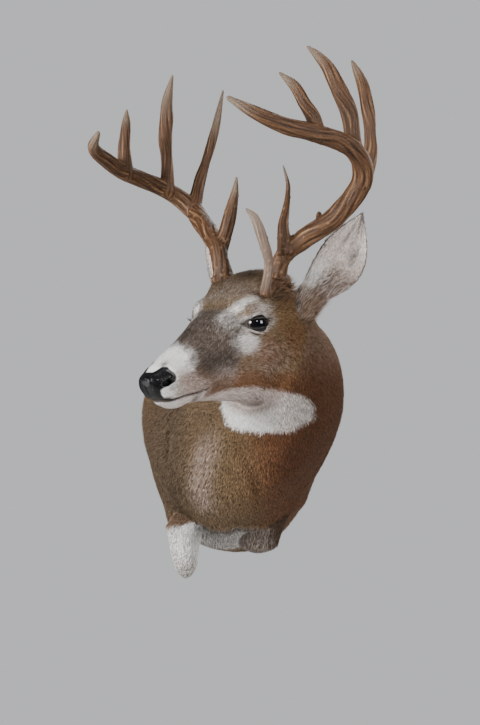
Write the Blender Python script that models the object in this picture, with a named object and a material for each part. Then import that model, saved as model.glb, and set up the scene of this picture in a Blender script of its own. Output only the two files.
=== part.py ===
"""Deer shoulder mount: a mature white-tailed buck, life size, on its backboard.

The mount hangs on a wall. X runs to the right of someone who faces the wall, Y into the wall and
Z up. The wall is the plane y = 0, and the origin is the middle of the backboard's rear face. The
deer faces into the room, along -Y, with its head turned to its own right.

All sizes below are in centimetres, and metres() turns a finished point into Blender's metres. The
flesh, from nose to wall, is one loft through upright sections. It is cut into the nose, muzzle,
head, neck, shoulders and chest, so that each is a closed solid. Every solid reaches out to the
tips of the coat.
"""
from collections import namedtuple
from math import cos, pi, radians, sin

import bmesh
import bpy
from mathutils import Matrix, Vector

# ---------------------------------------------------------------------------------------------
# Driving dimensions, in centimetres and degrees
# ---------------------------------------------------------------------------------------------
GAP = 0.03                     # air between pieces that touch
BOARD_THICKNESS = 1.8
BOARD_INSET = 0.93             # the board's outline, as a share of the chest's rear outline

EYES_ASIDE = 1.4               # the point midway between the eyes, from the board's middle
EYES_OUT = 35.0                # out from the wall
EYES_UP = 18.2                 # above the board's middle
HEAD_TURN = 33.0               # the head's turn to the deer's right

EYE_RADIUS = 1.7
EYE_PLACE = (-0.6, 5.15, 0.0)  # ahead, aside and above the point midway between the eyes

BODY_SIDES = 28                # corners of one section of the flesh
BEAM_SIDES = 10                # corners of one section of an antler's main beam
TINE_SIDES = 8

# A section of the flesh: its highest and lowest points, its half width, the turn of its plane, the
# height at which it is widest (0 bottom, 1 top) and how boxy its upper and lower halves are (2 is
# an ellipse).
Section = namedtuple("Section", "top bottom half_width turn widest upper lower")

# Head sections: ahead of the eyes at the top and at the bottom, height of the top, height of the
# bottom, half width, widest place, boxiness above and below.
HEAD_SECTIONS = (
    (16.20, 15.90, -7.60, -8.90, 1.00, 0.50, 2.2, 2.2),     # front of the nose
    (15.70, 15.30, -7.05, -9.70, 1.75, 0.50, 2.4, 2.4),
    (14.60, 14.10, -6.30, -10.60, 2.40, 0.52, 2.4, 2.4),    # nostrils
    (13.20, 12.60, -5.00, -11.60, 2.75, 0.48, 2.3, 2.3),
    (11.00, 10.70, -3.50, -11.90, 3.00, 0.46, 2.2, 2.2),    # lips
    (8.80, 8.80, -2.00, -11.50, 3.45, 0.48, 2.2, 2.1),
    (5.80, 5.80, 0.10, -11.20, 4.10, 0.52, 2.3, 2.1),       # bridge
    (3.00, 3.00, 2.05, -11.20, 4.90, 0.64, 2.8, 2.0),
    (0.90, 1.20, 3.70, -11.20, 5.75, 0.78, 3.5, 1.9),       # eyes
    (-1.20, -0.40, 5.10, -11.20, 6.10, 0.76, 3.7, 1.9),
    (-3.60, -2.00, 6.70, -11.30, 6.20, 0.70, 4.2, 2.0),     # forehead
    (-6.60, -3.60, 8.00, -11.50, 6.40, 0.62, 3.6, 2.1),     # crown, between the antlers
    (-9.80, -5.40, 7.00, -12.10, 7.10, 0.52, 2.1, 2.1),     # back of the skull and throat
)
# Neck and chest sections: aside, out from the wall and height of the top, the same of the bottom
# (heights from the eyes), then as above.
BODY_SECTIONS = (
    (7.7, 23.4, 4.4, 3.6, 30.4, -14.8, 8.5, 26.0, 0.50, 2.3, 2.1),     # behind the ears
    (6.5, 18.6, 2.8, 2.1, 30.4, -19.6, 11.0, 18.0, 0.52, 2.3, 2.1),
    (4.5, 13.8, 2.0, 0.2, 29.0, -24.6, 13.5, 10.0, 0.54, 2.5, 2.1),    # root of the neck
    (2.4, 9.4, 1.6, -0.8, 25.5, -28.6, 15.4, 4.0, 0.56, 2.5, 1.9),     # shoulders and brisket
    (1.0, 6.0, 1.4, -0.9, 20.6, -32.0, 16.2, 0.0, 0.58, 2.4, 1.7),
    (0.9, 3.6, 1.1, -2.8, 11.6, -35.4, 14.7, 0.0, 0.59, 2.4, 2.0),
    (1.3, 1.83, 0.8, -2.1, 1.83, -37.2, 13.2, 0.0, 0.62, 2.2, 2.1),    # rear edge, on the board
)
NOSE_END, MUZZLE_END, HEAD_END, NECK_END = 1.6, 6.0, 12.0, 16.0    # where the loft is cut

# Mouth line, ahead and above the eyes: from under the nose back to the corner of the lips.
MOUTH_FRONT = (17.0, -10.75)
MOUTH_CORNER = (7.0, -9.55)

# Ears: foot and tip (ahead, aside and above the eyes), the direction that the cup faces, half
# width, depth of the cup, how far the middle bows outwards and how thick the leaf is.
Ear = namedtuple("Ear", "base tip faces half_width cup bow thickness")
EARS = {
    "left": Ear((-9.9, 7.0, 3.4), (-12.3, 15.2, 15.8), (0.74, 0.62, -0.20), 3.55, 2.2, 1.0, 0.55),
    "right": Ear((-9.8, -7.5, 3.2), (-12.0, -15.4, 15.6), (0.88, -0.30, -0.2), 3.5, 2.0, -0.7, 0.55),
}

# Foreleg stumps: top, bottom (aside, out from the wall, height from the eyes), half width and half
# depth at the top and at the bottom.
Leg = namedtuple("Leg", "top bottom top_size bottom_size")
LEGS = {
    "right": Leg((-7.9, 18.5, -27.0), (-7.6, 18.5, -38.6), (3.6, 5.0), (1.6, 2.7)),
    "left": Leg((4.0, 13.0, -27.0), (2.9, 12.5, -35.4), (4.6, 5.0), (3.0, 3.8)),
}

# Antlers: each beam is a path of (ahead, aside, above) from the eyes, with a radius at each point.
# Both sides share the distance aside, so the right one only changes sign there.
BEAM_RADII = (1.45, 1.25, 1.45, 1.48, 1.50, 1.32, 1.24, 1.12, 0.88, 0.35)
BEAMS = {
    "left": ((-5.2, 4.9, 3.6), (-5.3, 6.0, 9.2), (-6.7, 9.0, 12.1), (-8.9, 13.0, 15.2),
             (-10.0, 16.8, 20.0), (-5.9, 18.5, 23.7), (2.1, 18.6, 24.9), (7.3, 17.3, 25.5),
             (11.4, 15.6, 26.9), (13.4, 12.7, 28.9)),
    "right": ((-5.2, 4.9, 3.8), (-5.1, 6.0, 10.6), (-6.6, 9.0, 13.6), (-8.8, 13.0, 16.0),
              (-10.3, 16.6, 18.6), (-6.4, 18.4, 21.3), (1.8, 18.7, 23.1), (7.1, 17.4, 24.4),
              (11.0, 15.8, 25.6), (12.9, 12.7, 27.2)),
}
BEAM_STEPS = 3                             # rings from one point of the path to the next
BEAM_CUTS = (0, 7, 14, 19, 27)             # the rings where a beam is cut

Tine = namedtuple("Tine", "path radii")
TINES = {
    "left": {
        "brow": Tine(((-3.4, 5.8, 5.8), (-1.5, 6.2, 4.4), (-1.6, 6.8, 7.8), (-1.0, 7.0, 9.8),
                      (0.0, 6.8, 12.3), (0.8, 6.3, 14.7), (2.0, 5.7, 15.9)),
                     (0.70, 0.80, 0.66, 0.72, 0.76, 0.62, 0.22)),
        "inner": Tine(((-5.0, 7.0, 9.8), (-5.1, 6.5, 13.8), (-6.1, 6.0, 15.9), (-7.2, 5.5, 18.2),
                       (-7.9, 5.0, 20.4), (-7.4, 4.5, 23.1)),
                      (1.30, 0.82, 0.62, 0.44, 0.34, 0.16)),
        "second": Tine(((-10.2, 16.6, 19.6), (-11.6, 17.0, 23.6), (-11.9, 16.8, 26.8),
                        (-12.1, 16.3, 30.0), (-12.3, 15.4, 33.4), (-12.5, 14.2, 35.8),
                        (-12.6, 13.0, 37.8)),
                       (1.30, 1.05, 0.86, 0.98, 0.90, 0.70, 0.22)),
        "third": Tine(((-6.2, 18.3, 23.6), (-5.6, 18.4, 26.0), (-5.2, 18.2, 28.8),
                       (-4.3, 17.4, 31.5), (-3.5, 16.0, 34.8), (-2.7, 14.8, 36.6),
                       (-1.9, 13.5, 38.0)),
                      (1.30, 1.12, 1.22, 1.16, 0.94, 0.66, 0.22)),
        "fourth": Tine(((1.9, 18.5, 24.8), (2.6, 18.2, 27.1), (3.7, 17.6, 28.9),
                        (4.4, 16.6, 31.1), (5.8, 15.0, 33.0)),
                       (1.15, 1.00, 0.86, 0.76, 0.20)),
        "bump": Tine(((-8.0, 10.8, 13.6), (-8.4, 10.4, 15.4), (-8.6, 10.2, 16.0)),
                     (0.60, 0.50, 0.26)),
    },
    "right": {
        "brow": Tine(((-5.4, 6.6, 10.2), (-6.5, 6.2, 13.4), (-6.8, 5.6, 15.7), (-7.1, 5.2, 17.9),
                      (-7.1, 4.6, 20.0), (-6.8, 4.0, 22.1)),
                     (1.30, 1.08, 1.04, 0.86, 0.58, 0.18)),
        "second": Tine(((-10.2, 16.2, 18.0), (-11.5, 16.6, 21.2), (-12.4, 16.6, 23.8),
                        (-13.0, 16.2, 26.1), (-13.5, 15.4, 29.1), (-13.8, 14.6, 32.1),
                        (-13.6, 13.0, 37.1)),
                       (1.30, 1.02, 0.90, 0.74, 0.76, 0.66, 0.18)),
        "third": Tine(((-6.4, 18.2, 20.9), (-6.4, 18.1, 24.2), (-6.1, 18.0, 26.5),
                       (-5.4, 17.6, 29.1), (-5.1, 17.0, 31.7), (-4.3, 16.0, 34.6),
                       (-3.4, 14.0, 38.0)),
                      (1.25, 0.98, 0.92, 1.08, 1.06, 0.84, 0.20)),
        "fourth": Tine(((1.9, 18.6, 23.0), (2.7, 18.2, 26.2), (3.1, 17.6, 28.1),
                        (3.6, 16.8, 30.1), (4.4, 15.8, 32.0)),
                       (1.25, 0.98, 0.84, 0.68, 0.20)),
    },
}
TINE_STEPS = 2
BURR_PLACE = {"left": (-5.25, 5.45, 6.7), "right": (-5.25, 5.45, 6.9)}
BURR_OUTER = 2.05              # radius of the rough ring at an antler's foot
BURR_HEIGHT = 1.3
BURR_LEAN = 14.0               # degrees outwards

COLOURS = {                    # sRGB-linear colour and roughness of each finish
    "coat": ((0.20, 0.115, 0.055), 0.85),
    "pale_coat": ((0.62, 0.56, 0.50), 0.85),
    "nose": ((0.010, 0.010, 0.012), 0.35),
    "eye": ((0.012, 0.007, 0.004), 0.05),
    "antler": ((0.21, 0.12, 0.06), 0.55),
    "board": ((0.48, 0.34, 0.20), 0.70),
}


# ---------------------------------------------------------------------------------------------
# Helpers
# ---------------------------------------------------------------------------------------------
def clear_scene():
    """Remove whatever the file holds."""
    for old in list(bpy.data.objects):
        bpy.data.objects.remove(old, do_unlink=True)


def metres(point):
    """A point in centimetres as a vector in metres."""
    return Vector(point) * 0.01


def on_head(ahead, aside, above):
    """A point given from between the eyes (ahead, to the deer's left, up), in the mount's frame."""
    turn = radians(HEAD_TURN)
    x = EYES_ASIDE - ahead * sin(turn) + aside * cos(turn)
    y = -EYES_OUT - ahead * cos(turn) - aside * sin(turn)
    return Vector((x, y, EYES_UP + above))


def on_head_direction(ahead, aside, above):
    """A direction of the head's frame in the mount's frame."""
    return (on_head(ahead, aside, above) - on_head(0, 0, 0)).normalized()


def on_body(aside, out, above_eyes):
    """A point of the body, in the mount's frame."""
    return Vector((aside, -out, EYES_UP + above_eyes))


def finish(name):
    """The material of that name, made once."""
    material = bpy.data.materials.get(name)
    if material is None:
        colour, roughness = COLOURS[name]
        material = bpy.data.materials.new(name)
        material.use_nodes = True
        shader = material.node_tree.nodes["Principled BSDF"]
        shader.inputs["Base Color"].default_value = (*colour, 1.0)
        shader.inputs["Roughness"].default_value = roughness
        shader.inputs["Metallic"].default_value = 0.0
        material.diffuse_color = (*colour, 1.0)
    return material


def new_object(name, mesh_data, material):
    """An object of the scene from a bmesh, shaded smooth."""
    bmesh.ops.recalc_face_normals(mesh_data, faces=mesh_data.faces)
    mesh = bpy.data.meshes.new(name)
    mesh_data.to_mesh(mesh)
    mesh_data.free()
    mesh.shade_smooth()
    mesh.materials.append(finish(material))
    piece = bpy.data.objects.new(name, mesh)
    bpy.context.scene.collection.objects.link(piece)
    return piece


def skin_rings(name, rings, material):
    """A closed solid through rings of points, in centimetres, with both ends capped."""
    mesh_data = bmesh.new()
    loops = [[mesh_data.verts.new(metres(point)) for point in ring] for ring in rings]
    for near, far in zip(loops, loops[1:]):
        count = len(near)
        for i in range(count):
            j = (i + 1) % count
            mesh_data.faces.new((near[i], near[j], far[j], far[i]))
    caps = [mesh_data.faces.new(loops[0]), mesh_data.faces.new(reversed(loops[-1]))]
    bmesh.ops.poke(mesh_data, faces=caps)
    bmesh.ops.triangulate(mesh_data, faces=mesh_data.faces)
    return new_object(name, mesh_data, material)


def hide_cutter(cutter):
    """Mark a guide that only cuts other pieces."""
    cutter.hide_render = True
    cutter.display_type = "WIRE"
    return cutter


def cut(piece, cutter, operation="DIFFERENCE"):
    """Cut a piece with a cutter."""
    boolean = piece.modifiers.new(operation.title(), "BOOLEAN")
    boolean.operation = operation
    boolean.solver = "EXACT"
    boolean.object = cutter
    return piece


def grown(piece, name, amount=GAP):
    """A hidden copy of a piece whose surface lies further out, to cut its neighbours with."""
    mesh = piece.data.copy()
    mesh_data = bmesh.new()
    mesh_data.from_mesh(mesh)
    mesh_data.normal_update()
    moves = [(vert, vert.normal.copy()) for vert in mesh_data.verts]
    for vert, normal in moves:
        vert.co += normal * amount * 0.01
    mesh_data.to_mesh(mesh)
    mesh_data.free()
    copy = bpy.data.objects.new(name, mesh)
    bpy.context.scene.collection.objects.link(copy)
    return hide_cutter(copy)


def slopes(values):
    """Slopes at evenly spaced values, for a curve that never overshoots them."""
    steps = [b - a for a, b in zip(values, values[1:])]
    inner = [2 * a * b / (a + b) if a * b > 0 else 0.0 for a, b in zip(steps, steps[1:])]
    return [steps[0]] + inner + [steps[-1]]


def smooth_value(values, t):
    """The value at t on a smooth curve through values at 0, 1, 2 and so on."""
    i = min(int(t), len(values) - 2)
    u = t - i
    slope = slopes(values)
    rise = 3 * u * u - 2 * u * u * u
    start = u * u * u - 2 * u * u + u
    end = u * u * u - u * u
    return values[i] + rise * (values[i + 1] - values[i]) + start * slope[i] + end * slope[i + 1]


def smooth_path(points, t):
    """The point at t on a Catmull-Rom curve through points at 0, 1, 2 and so on."""
    points = [Vector(point) for point in points]
    i = min(int(t), len(points) - 2)
    u = t - i
    p1, p2 = points[i], points[i + 1]
    p0 = points[i - 1] if i > 0 else p1 * 2 - p2
    p3 = points[i + 2] if i + 2 < len(points) else p2 * 2 - p1
    return 0.5 * (2 * p1 + (p2 - p0) * u + (2 * p0 - 5 * p1 + 4 * p2 - p3) * u ** 2
                  + (3 * p1 - p0 - 3 * p2 + p3) * u ** 3)


# ---------------------------------------------------------------------------------------------
# The flesh, lofted from the nose to the wall
# ---------------------------------------------------------------------------------------------
def all_sections():
    """Every section, from the nose to the wall, in the mount's frame."""
    sections = []
    for x_top, x_bottom, top, bottom, half_width, widest, upper, lower in HEAD_SECTIONS:
        sections.append(Section(on_head(x_top, 0, top), on_head(x_bottom, 0, bottom),
                                half_width, HEAD_TURN, widest, upper, lower))
    for tx, t_out, tz, bx, b_out, bz, half_width, turn, widest, upper, lower in BODY_SECTIONS:
        sections.append(Section(on_body(tx, t_out, tz), on_body(bx, b_out, bz),
                                half_width, turn, widest, upper, lower))
    return sections


def section_at(sections, t):
    """The section at t, between those given."""
    def of(value):
        return smooth_value([value(s) for s in sections], t)
    top = Vector([of(lambda s, k=k: s.top[k]) for k in range(3)])
    bottom = Vector([of(lambda s, k=k: s.bottom[k]) for k in range(3)])
    return Section(top, bottom, of(lambda s: s.half_width), of(lambda s: s.turn),
                   of(lambda s: s.widest), of(lambda s: s.upper), of(lambda s: s.lower))


def section_point(section, angle):
    """A point of a section: angle 0 is its top and 90 degrees the deer's left."""
    side, height = sin(angle), cos(angle)
    boxiness = section.upper if height >= 0 else section.lower
    reach = abs(side) ** (2 / boxiness) * (1 if side >= 0 else -1)
    rise = abs(height) ** (2 / boxiness)
    share = section.widest
    share += (1 - section.widest) * rise if height >= 0 else -section.widest * rise
    turn = radians(section.turn)
    leftwards = Vector((cos(turn), -sin(turn), 0))
    middle = section.bottom + (section.top - section.bottom) * share
    return middle + leftwards * section.half_width * reach


def section_ring(sections, t, shift=0.0):
    """The ring of points at t, moved towards the wall by shift."""
    section = section_at(sections, t)
    ring = [section_point(section, 2 * pi * i / BODY_SIDES) for i in range(BODY_SIDES)]
    turn = radians(section.turn)
    leftwards = Vector((cos(turn), -sin(turn), 0))
    wallwards = (section.top - section.bottom).cross(leftwards).normalized()
    if wallwards.y < 0:
        wallwards = -wallwards
    return [point + wallwards * shift for point in ring]


def flesh(name, sections, start, end, count, material="coat", first=False):
    """One solid of the loft, from start to end, with a gap to the piece before it."""
    times = [start + (end - start) * i / count for i in range(count + 1)]
    rings = [section_ring(sections, t, 0.0 if first or i else GAP) for i, t in enumerate(times)]
    return skin_rings(name, rings, material)


def mouth_cutter(name, raised):
    """A wedge that fills all below the mouth line, back to the corner of the lips."""
    front_x, front_z = MOUTH_FRONT
    corner_x, corner_z = MOUTH_CORNER
    side, floor = 8.0, -16.0
    outline = ((front_x + 2, front_z + raised), (corner_x - raised, corner_z + raised),
               (corner_x - raised, floor), (front_x + 2, floor))
    rings = [[on_head(x, y, z) for x, z in outline] for y in (-side, side)]
    return hide_cutter(skin_rings(name, rings, "coat"))


def build_flesh():
    """Nose, muzzle, lower jaw, head, neck, shoulders and chest."""
    sections = all_sections()
    pieces = {
        "nose": flesh("nose", sections, 0.0, NOSE_END, 5, "nose", first=True),
        "muzzle": flesh("muzzle", sections, NOSE_END, MUZZLE_END, 10),
        "head": flesh("head", sections, MUZZLE_END, HEAD_END, 15),
        "neck": flesh("neck", sections, HEAD_END, NECK_END - 1, 8),
        "shoulders": flesh("shoulders", sections, NECK_END - 1, len(sections) - 1, 9),
    }
    jaw_front = NOSE_END - 0.9
    pieces["lower_jaw"] = flesh("lower_jaw", sections, jaw_front, MUZZLE_END, 11, "pale_coat")
    cut(pieces["lower_jaw"], mouth_cutter("cutter_jaw", 0.0), "INTERSECT")
    above = mouth_cutter("cutter_mouth", GAP)
    cut(pieces["nose"], above)
    cut(pieces["muzzle"], above)
    return pieces


# ---------------------------------------------------------------------------------------------
# Eyes, ears and legs
# ---------------------------------------------------------------------------------------------
def ball(name, centre, radius, material):
    """A sphere of quads between two poles."""
    mesh_data = bmesh.new()
    bmesh.ops.create_uvsphere(mesh_data, u_segments=14, v_segments=8, radius=radius * 0.01)
    turn = Matrix.Rotation(radians(90), 4, "X")
    bmesh.ops.transform(mesh_data, matrix=Matrix.Translation(metres(centre)) @ turn,
                        verts=mesh_data.verts)
    bmesh.ops.triangulate(mesh_data, faces=mesh_data.faces)
    return new_object(name, mesh_data, material)


def build_eyes(head):
    """Glass eyes, each in a round socket of the head."""
    ahead, aside, above = EYE_PLACE
    for side, sign in (("left", 1), ("right", -1)):
        centre = on_head(ahead, sign * aside, above)
        eye = ball(f"eye_{side}", centre, EYE_RADIUS, "eye")
        cut(head, grown(eye, f"cutter_socket_{side}"))


def ear_section(ear, s, across, out, opening):
    """One crescent of an ear, s of the way from its foot to its tip."""
    base, tip = on_head(*ear.base), on_head(*ear.tip)
    swell = sin(pi * min(1.0, (s + 0.28) / 1.28) ** 1.3)
    half = ear.half_width * max(swell, 0.06)
    if s < 0.25:
        half = max(half, ear.half_width * 0.62)
    cup = ear.cup * (1 - 0.75 * s) * max(swell, 0.1) ** 0.5 + 0.1
    wall = ear.thickness * (1.0 - 0.6 * s)
    hollow = min(1.0, max(s, 0.0) / 0.22)
    belly = 0.75 * ear.cup * (1.0 - min(1.0, max(s + 0.02, 0.0) / 0.16))
    centre = base + (tip - base) * s + across * ear.bow * max(sin(pi * s), 0.0) ** 1.2
    arc = 8
    angles = [-pi / 2 + pi * i / arc for i in range(arc + 1)]
    back = [centre + across * half * sin(a) - opening * cup * cos(a) for a in angles]
    depth = max(cup - wall, 0.05) * hollow
    inner_half = half - wall * 0.35
    front = [centre + across * inner_half * sin(a) + opening * (belly - depth) * cos(a)
             + opening * wall * 0.5 for a in reversed(angles)]
    return back + front


def build_ears(head, neck):
    """Two cupped leaves, cut to sit on the skull."""
    for side, ear in EARS.items():
        out = (on_head(*ear.tip) - on_head(*ear.base)).normalized()
        opening = on_head_direction(*ear.faces)
        opening = (opening - out * opening.dot(out)).normalized()
        across = out.cross(opening).normalized()
        stations = (-0.16, 0.0, 0.08, 0.17, 0.28, 0.42, 0.56, 0.70, 0.82, 0.92, 0.985)
        rings = [ear_section(ear, s, across, out, opening) for s in stations]
        piece = skin_rings(f"ear_{side}", rings, "coat")
        cut(piece, head)
        cut(piece, neck)


def build_legs(shoulders):
    """The stumps of the forelegs, under the shoulders."""
    for side, leg in LEGS.items():
        rings = []
        for share in (0.0, 0.3, 0.55, 0.75, 0.9, 0.98):
            middle = on_body(*leg.top).lerp(on_body(*leg.bottom), share)
            width = leg.top_size[0] + (leg.bottom_size[0] - leg.top_size[0]) * share
            depth = leg.top_size[1] + (leg.bottom_size[1] - leg.top_size[1]) * share
            tuck = 1.0 if share < 0.8 else (1 - ((share - 0.8) / 0.2) ** 2) ** 0.5
            rings.append([middle + Vector((width * tuck * cos(a), depth * tuck * sin(a), 0))
                          for a in (2 * pi * i / 14 for i in range(14))])
        piece = skin_rings(f"leg_{side}", rings, "pale_coat")
        cut(piece, shoulders)


# ---------------------------------------------------------------------------------------------
# Antlers
# ---------------------------------------------------------------------------------------------
def tube_rings(points, radii, steps, sides):
    """The direction and the round ring at each step of a smooth path, with the least twist."""
    last = len(points) - 1
    times = [i / steps for i in range(last * steps + 1)]
    middles = [smooth_path(points, t) for t in times]
    widths = [smooth_value(radii, t) for t in times]
    rings = []
    across = None
    for i, middle in enumerate(middles):
        ahead = middles[min(i + 1, len(middles) - 1)] - middles[max(i - 1, 0)]
        ahead.normalize()
        if across is None:
            across = ahead.orthogonal()
        across = (across - ahead * across.dot(ahead)).normalized()
        other = ahead.cross(across)
        rings.append((ahead, [middle + (across * cos(a) + other * sin(a)) * widths[i]
                              for a in (2 * pi * k / sides for k in range(sides))]))
    return rings


def side_point(side, point):
    """A point of an antler in the mount's frame."""
    ahead, aside, above = point
    return on_head(ahead, aside if side == "left" else -aside, above)


def build_antler(side, head):
    """One antler: its burr, its beam in pieces and its tines, each seated on what carries it."""
    path = [side_point(side, point) for point in BEAMS[side]]
    rings = tube_rings(path, BEAM_RADII, BEAM_STEPS, BEAM_SIDES)
    beams = []
    for number, (start, end) in enumerate(zip(BEAM_CUTS, BEAM_CUTS[1:]), 1):
        ahead, first = rings[start]
        shift = GAP if number > 1 else 0.0
        loops = [[point + ahead * shift for point in first]]
        loops += [ring for _, ring in rings[start + 1:end + 1]]
        beams.append(skin_rings(f"antler_{side}_beam_{number}", loops, "antler"))
    cut(beams[0], head)

    lean = Matrix.Rotation(radians(BURR_LEAN * (1 if side == "left" else -1)), 3, "Y")
    turn = Matrix.Rotation(-radians(HEAD_TURN), 3, "Z")
    middle = side_point(side, BURR_PLACE[side])
    profile = ((0.78, -0.5), (1.0, -0.25), (1.0, 0.1), (0.86, 0.5))
    loops = []
    for reach, height in profile:
        loops.append([middle + turn @ lean @ Vector((BURR_OUTER * reach * cos(a),
                                                     BURR_OUTER * reach * sin(a),
                                                     BURR_HEIGHT * height))
                      for a in (2 * pi * k / 12 for k in range(12))])
    burr = skin_rings(f"antler_{side}_burr", loops, "antler")
    cut(burr, grown(beams[0], f"cutter_burr_{side}"))
    cut(burr, head)

    seats = [grown(beam, f"cutter_beam_{side}_{i}") for i, beam in enumerate(beams, 1)]
    burr_seat = grown(burr, f"cutter_burr_outer_{side}")
    for name, tine in TINES[side].items():
        path = [side_point(side, point) for point in tine.path]
        rings = [ring for _, ring in tube_rings(path, tine.radii, TINE_STEPS, TINE_SIDES)]
        piece = skin_rings(f"antler_{side}_{name}", rings, "antler")
        for seat in seats:
            cut(piece, seat)
        if name == "brow":
            cut(piece, burr_seat)
            cut(piece, head)


# ---------------------------------------------------------------------------------------------
# Backboard
# ---------------------------------------------------------------------------------------------
def build_board():
    """A plywood board behind the chest, inset from the edge of the hide."""
    rear = section_ring(all_sections(), len(all_sections()) - 1)
    front = [Vector((point.x * BOARD_INSET, -BOARD_THICKNESS, point.z * BOARD_INSET))
             for point in rear]
    back = [Vector((point.x, 0.0, point.z)) for point in front]
    return skin_rings("backboard", [front, back], "board")


def build():
    """The whole mount."""
    clear_scene()
    pieces = build_flesh()
    head_seat = grown(pieces["head"], "cutter_head")
    neck_seat = grown(pieces["neck"], "cutter_neck")
    shoulder_seat = grown(pieces["shoulders"], "cutter_shoulders")
    build_eyes(pieces["head"])
    build_ears(head_seat, neck_seat)
    build_legs(shoulder_seat)
    for side in ("left", "right"):
        build_antler(side, head_seat)
    build_board()


build()
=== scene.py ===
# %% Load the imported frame
from collections import namedtuple
from math import cos, pi, radians, sin

import bmesh
import bpy
import numpy as np
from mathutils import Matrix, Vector
from mathutils.kdtree import KDTree


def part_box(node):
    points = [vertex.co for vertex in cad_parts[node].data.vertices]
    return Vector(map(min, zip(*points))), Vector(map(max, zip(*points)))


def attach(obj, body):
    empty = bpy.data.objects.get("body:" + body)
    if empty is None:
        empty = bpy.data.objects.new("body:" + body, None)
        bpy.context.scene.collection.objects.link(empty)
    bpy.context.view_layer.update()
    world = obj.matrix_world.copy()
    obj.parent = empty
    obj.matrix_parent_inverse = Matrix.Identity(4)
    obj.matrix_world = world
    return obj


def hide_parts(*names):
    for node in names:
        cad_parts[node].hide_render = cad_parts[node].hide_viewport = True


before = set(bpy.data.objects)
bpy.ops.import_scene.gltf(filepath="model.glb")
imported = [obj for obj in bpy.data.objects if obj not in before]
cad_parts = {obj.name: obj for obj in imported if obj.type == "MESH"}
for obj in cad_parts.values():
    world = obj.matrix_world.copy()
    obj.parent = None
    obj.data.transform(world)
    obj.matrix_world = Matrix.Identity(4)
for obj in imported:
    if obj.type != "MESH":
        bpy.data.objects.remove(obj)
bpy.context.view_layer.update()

# %% [markdown]
# # The looks of a deer shoulder mount
# A shoulder mount is a tanned hide over a foam form, with glass eyes, the buck's own antlers and a
# plywood board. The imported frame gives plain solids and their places. This lesson builds what is
# seen: one skin with its folds, a coat of small solid locks, lidded eyes, antlers and the board.
#
# The head is shaped along its own directions: ahead along the nose, aside to the deer's left, and
# up. The two eye solids give them, so the head follows the frame.

# %% The head's own directions
EYE_PLACE = (-0.6, 5.15, 0.0)  # centre of an eye: ahead, aside, up, in centimetres
EYE_RADIUS = 1.7
SIDES = {"left": 1, "right": -1}
eye_middles = {side: sum(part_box(f"eye_{side}"), Vector()) / 2 for side in SIDES}
UP = np.array((0.0, 0.0, 1.0))
ASIDE = np.array((eye_middles["left"] - eye_middles["right"]).normalized())
AHEAD = np.cross(ASIDE, UP)
EYES = np.array((eye_middles["left"] + eye_middles["right"]) / 2) - AHEAD * EYE_PLACE[0] * 0.01
HEAD_TURN = np.degrees(np.arccos(ASIDE[0]))


def on_head(points):
    """Points given in centimetres ahead, aside and up from between the eyes, in metres."""
    points = np.asarray(points, float)
    return EYES + 0.01 * (points[..., :1] * AHEAD + points[..., 1:2] * ASIDE + points[..., 2:] * UP)


def from_head(places):
    """The same the other way: centimetres in the head from points in metres."""
    offset = (np.asarray(places) - EYES) * 100
    return np.stack((offset @ AHEAD, offset @ ASIDE, offset @ UP), -1)


def on_body(aside, out, above_eyes):
    """A point of the body from centimetres aside, out from the wall and above the eyes."""
    return np.array((aside, -out, EYES[2] * 100 + above_eyes)) * 0.01


print("eyes at", EYES.round(4), "head turned", round(float(HEAD_TURN), 1), "degrees")

# %% [markdown]
# ## Small helpers
# The coat has over a million corners, and filling a mesh from arrays is far quicker than adding
# one vertex at a time. Ramps and soft spots shape both the folds and the markings.


# %% Mesh helpers
def add_object(name, data):
    """An object of some data, in the scene."""
    piece = bpy.data.objects.new(name, data)
    bpy.context.scene.collection.objects.link(piece)
    return piece


def mesh_piece(name, points, faces, material=None):
    """An object from points and a list of face arrays, each of one corner count."""
    mesh = bpy.data.meshes.new(name)
    mesh.vertices.add(len(points))
    mesh.vertices.foreach_set("co", np.asarray(points, np.float32).ravel())
    sizes = np.concatenate([np.full(len(f), f.shape[1]) for f in faces])
    corners = np.concatenate([f.ravel() for f in faces]).astype(np.int32)
    mesh.loops.add(len(corners))
    mesh.loops.foreach_set("vertex_index", corners)
    mesh.polygons.add(len(sizes))
    starts = np.concatenate([[0], np.cumsum(sizes)[:-1]]).astype(np.int32)
    mesh.polygons.foreach_set("loop_start", starts)
    mesh.update(calc_edges=True)
    mesh.shade_smooth()
    if material:
        mesh.materials.append(material)
    return add_object(name, mesh)


def plain_mesh(piece):
    """The mesh that an object's modifiers make."""
    shown = piece.evaluated_get(bpy.context.evaluated_depsgraph_get())
    return bpy.data.meshes.new_from_object(shown)


def face_outwards(piece):
    """Turn the faces of a closed piece outwards."""
    shell = bmesh.new()
    shell.from_mesh(piece.data)
    bmesh.ops.recalc_face_normals(shell, faces=shell.faces[:])
    shell.to_mesh(piece.data)
    shell.free()


def give_values(piece, name, values):
    """An attribute on a mesh's points: one number or four for each."""
    values = np.asarray(values, np.float32)
    kind, field = ("FLOAT", "value") if values.ndim == 1 else ("FLOAT_COLOR", "color")
    attribute = piece.data.attributes.new(name, kind, "POINT")
    attribute.data.foreach_set(field, values.ravel())


def give_uv(piece, name, uv):
    """A UV map from one place for each face corner."""
    layer = piece.data.uv_layers.new(name=name)
    layer.data.foreach_set("uv", np.asarray(uv, np.float32).ravel())


print("mesh helpers ready")


# %% Ramps, spots and lines
def unit(vectors):
    """Vectors at length one."""
    return np.asarray(vectors) / (np.linalg.norm(vectors, axis=-1, keepdims=True) + 1e-12)


def bell(value):
    """1 at nought, falling softly to 0 on both sides."""
    return np.exp(-value ** 2)


def most(*fields):
    """The highest of several fields at each place."""
    return np.maximum.reduce(fields)


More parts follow.
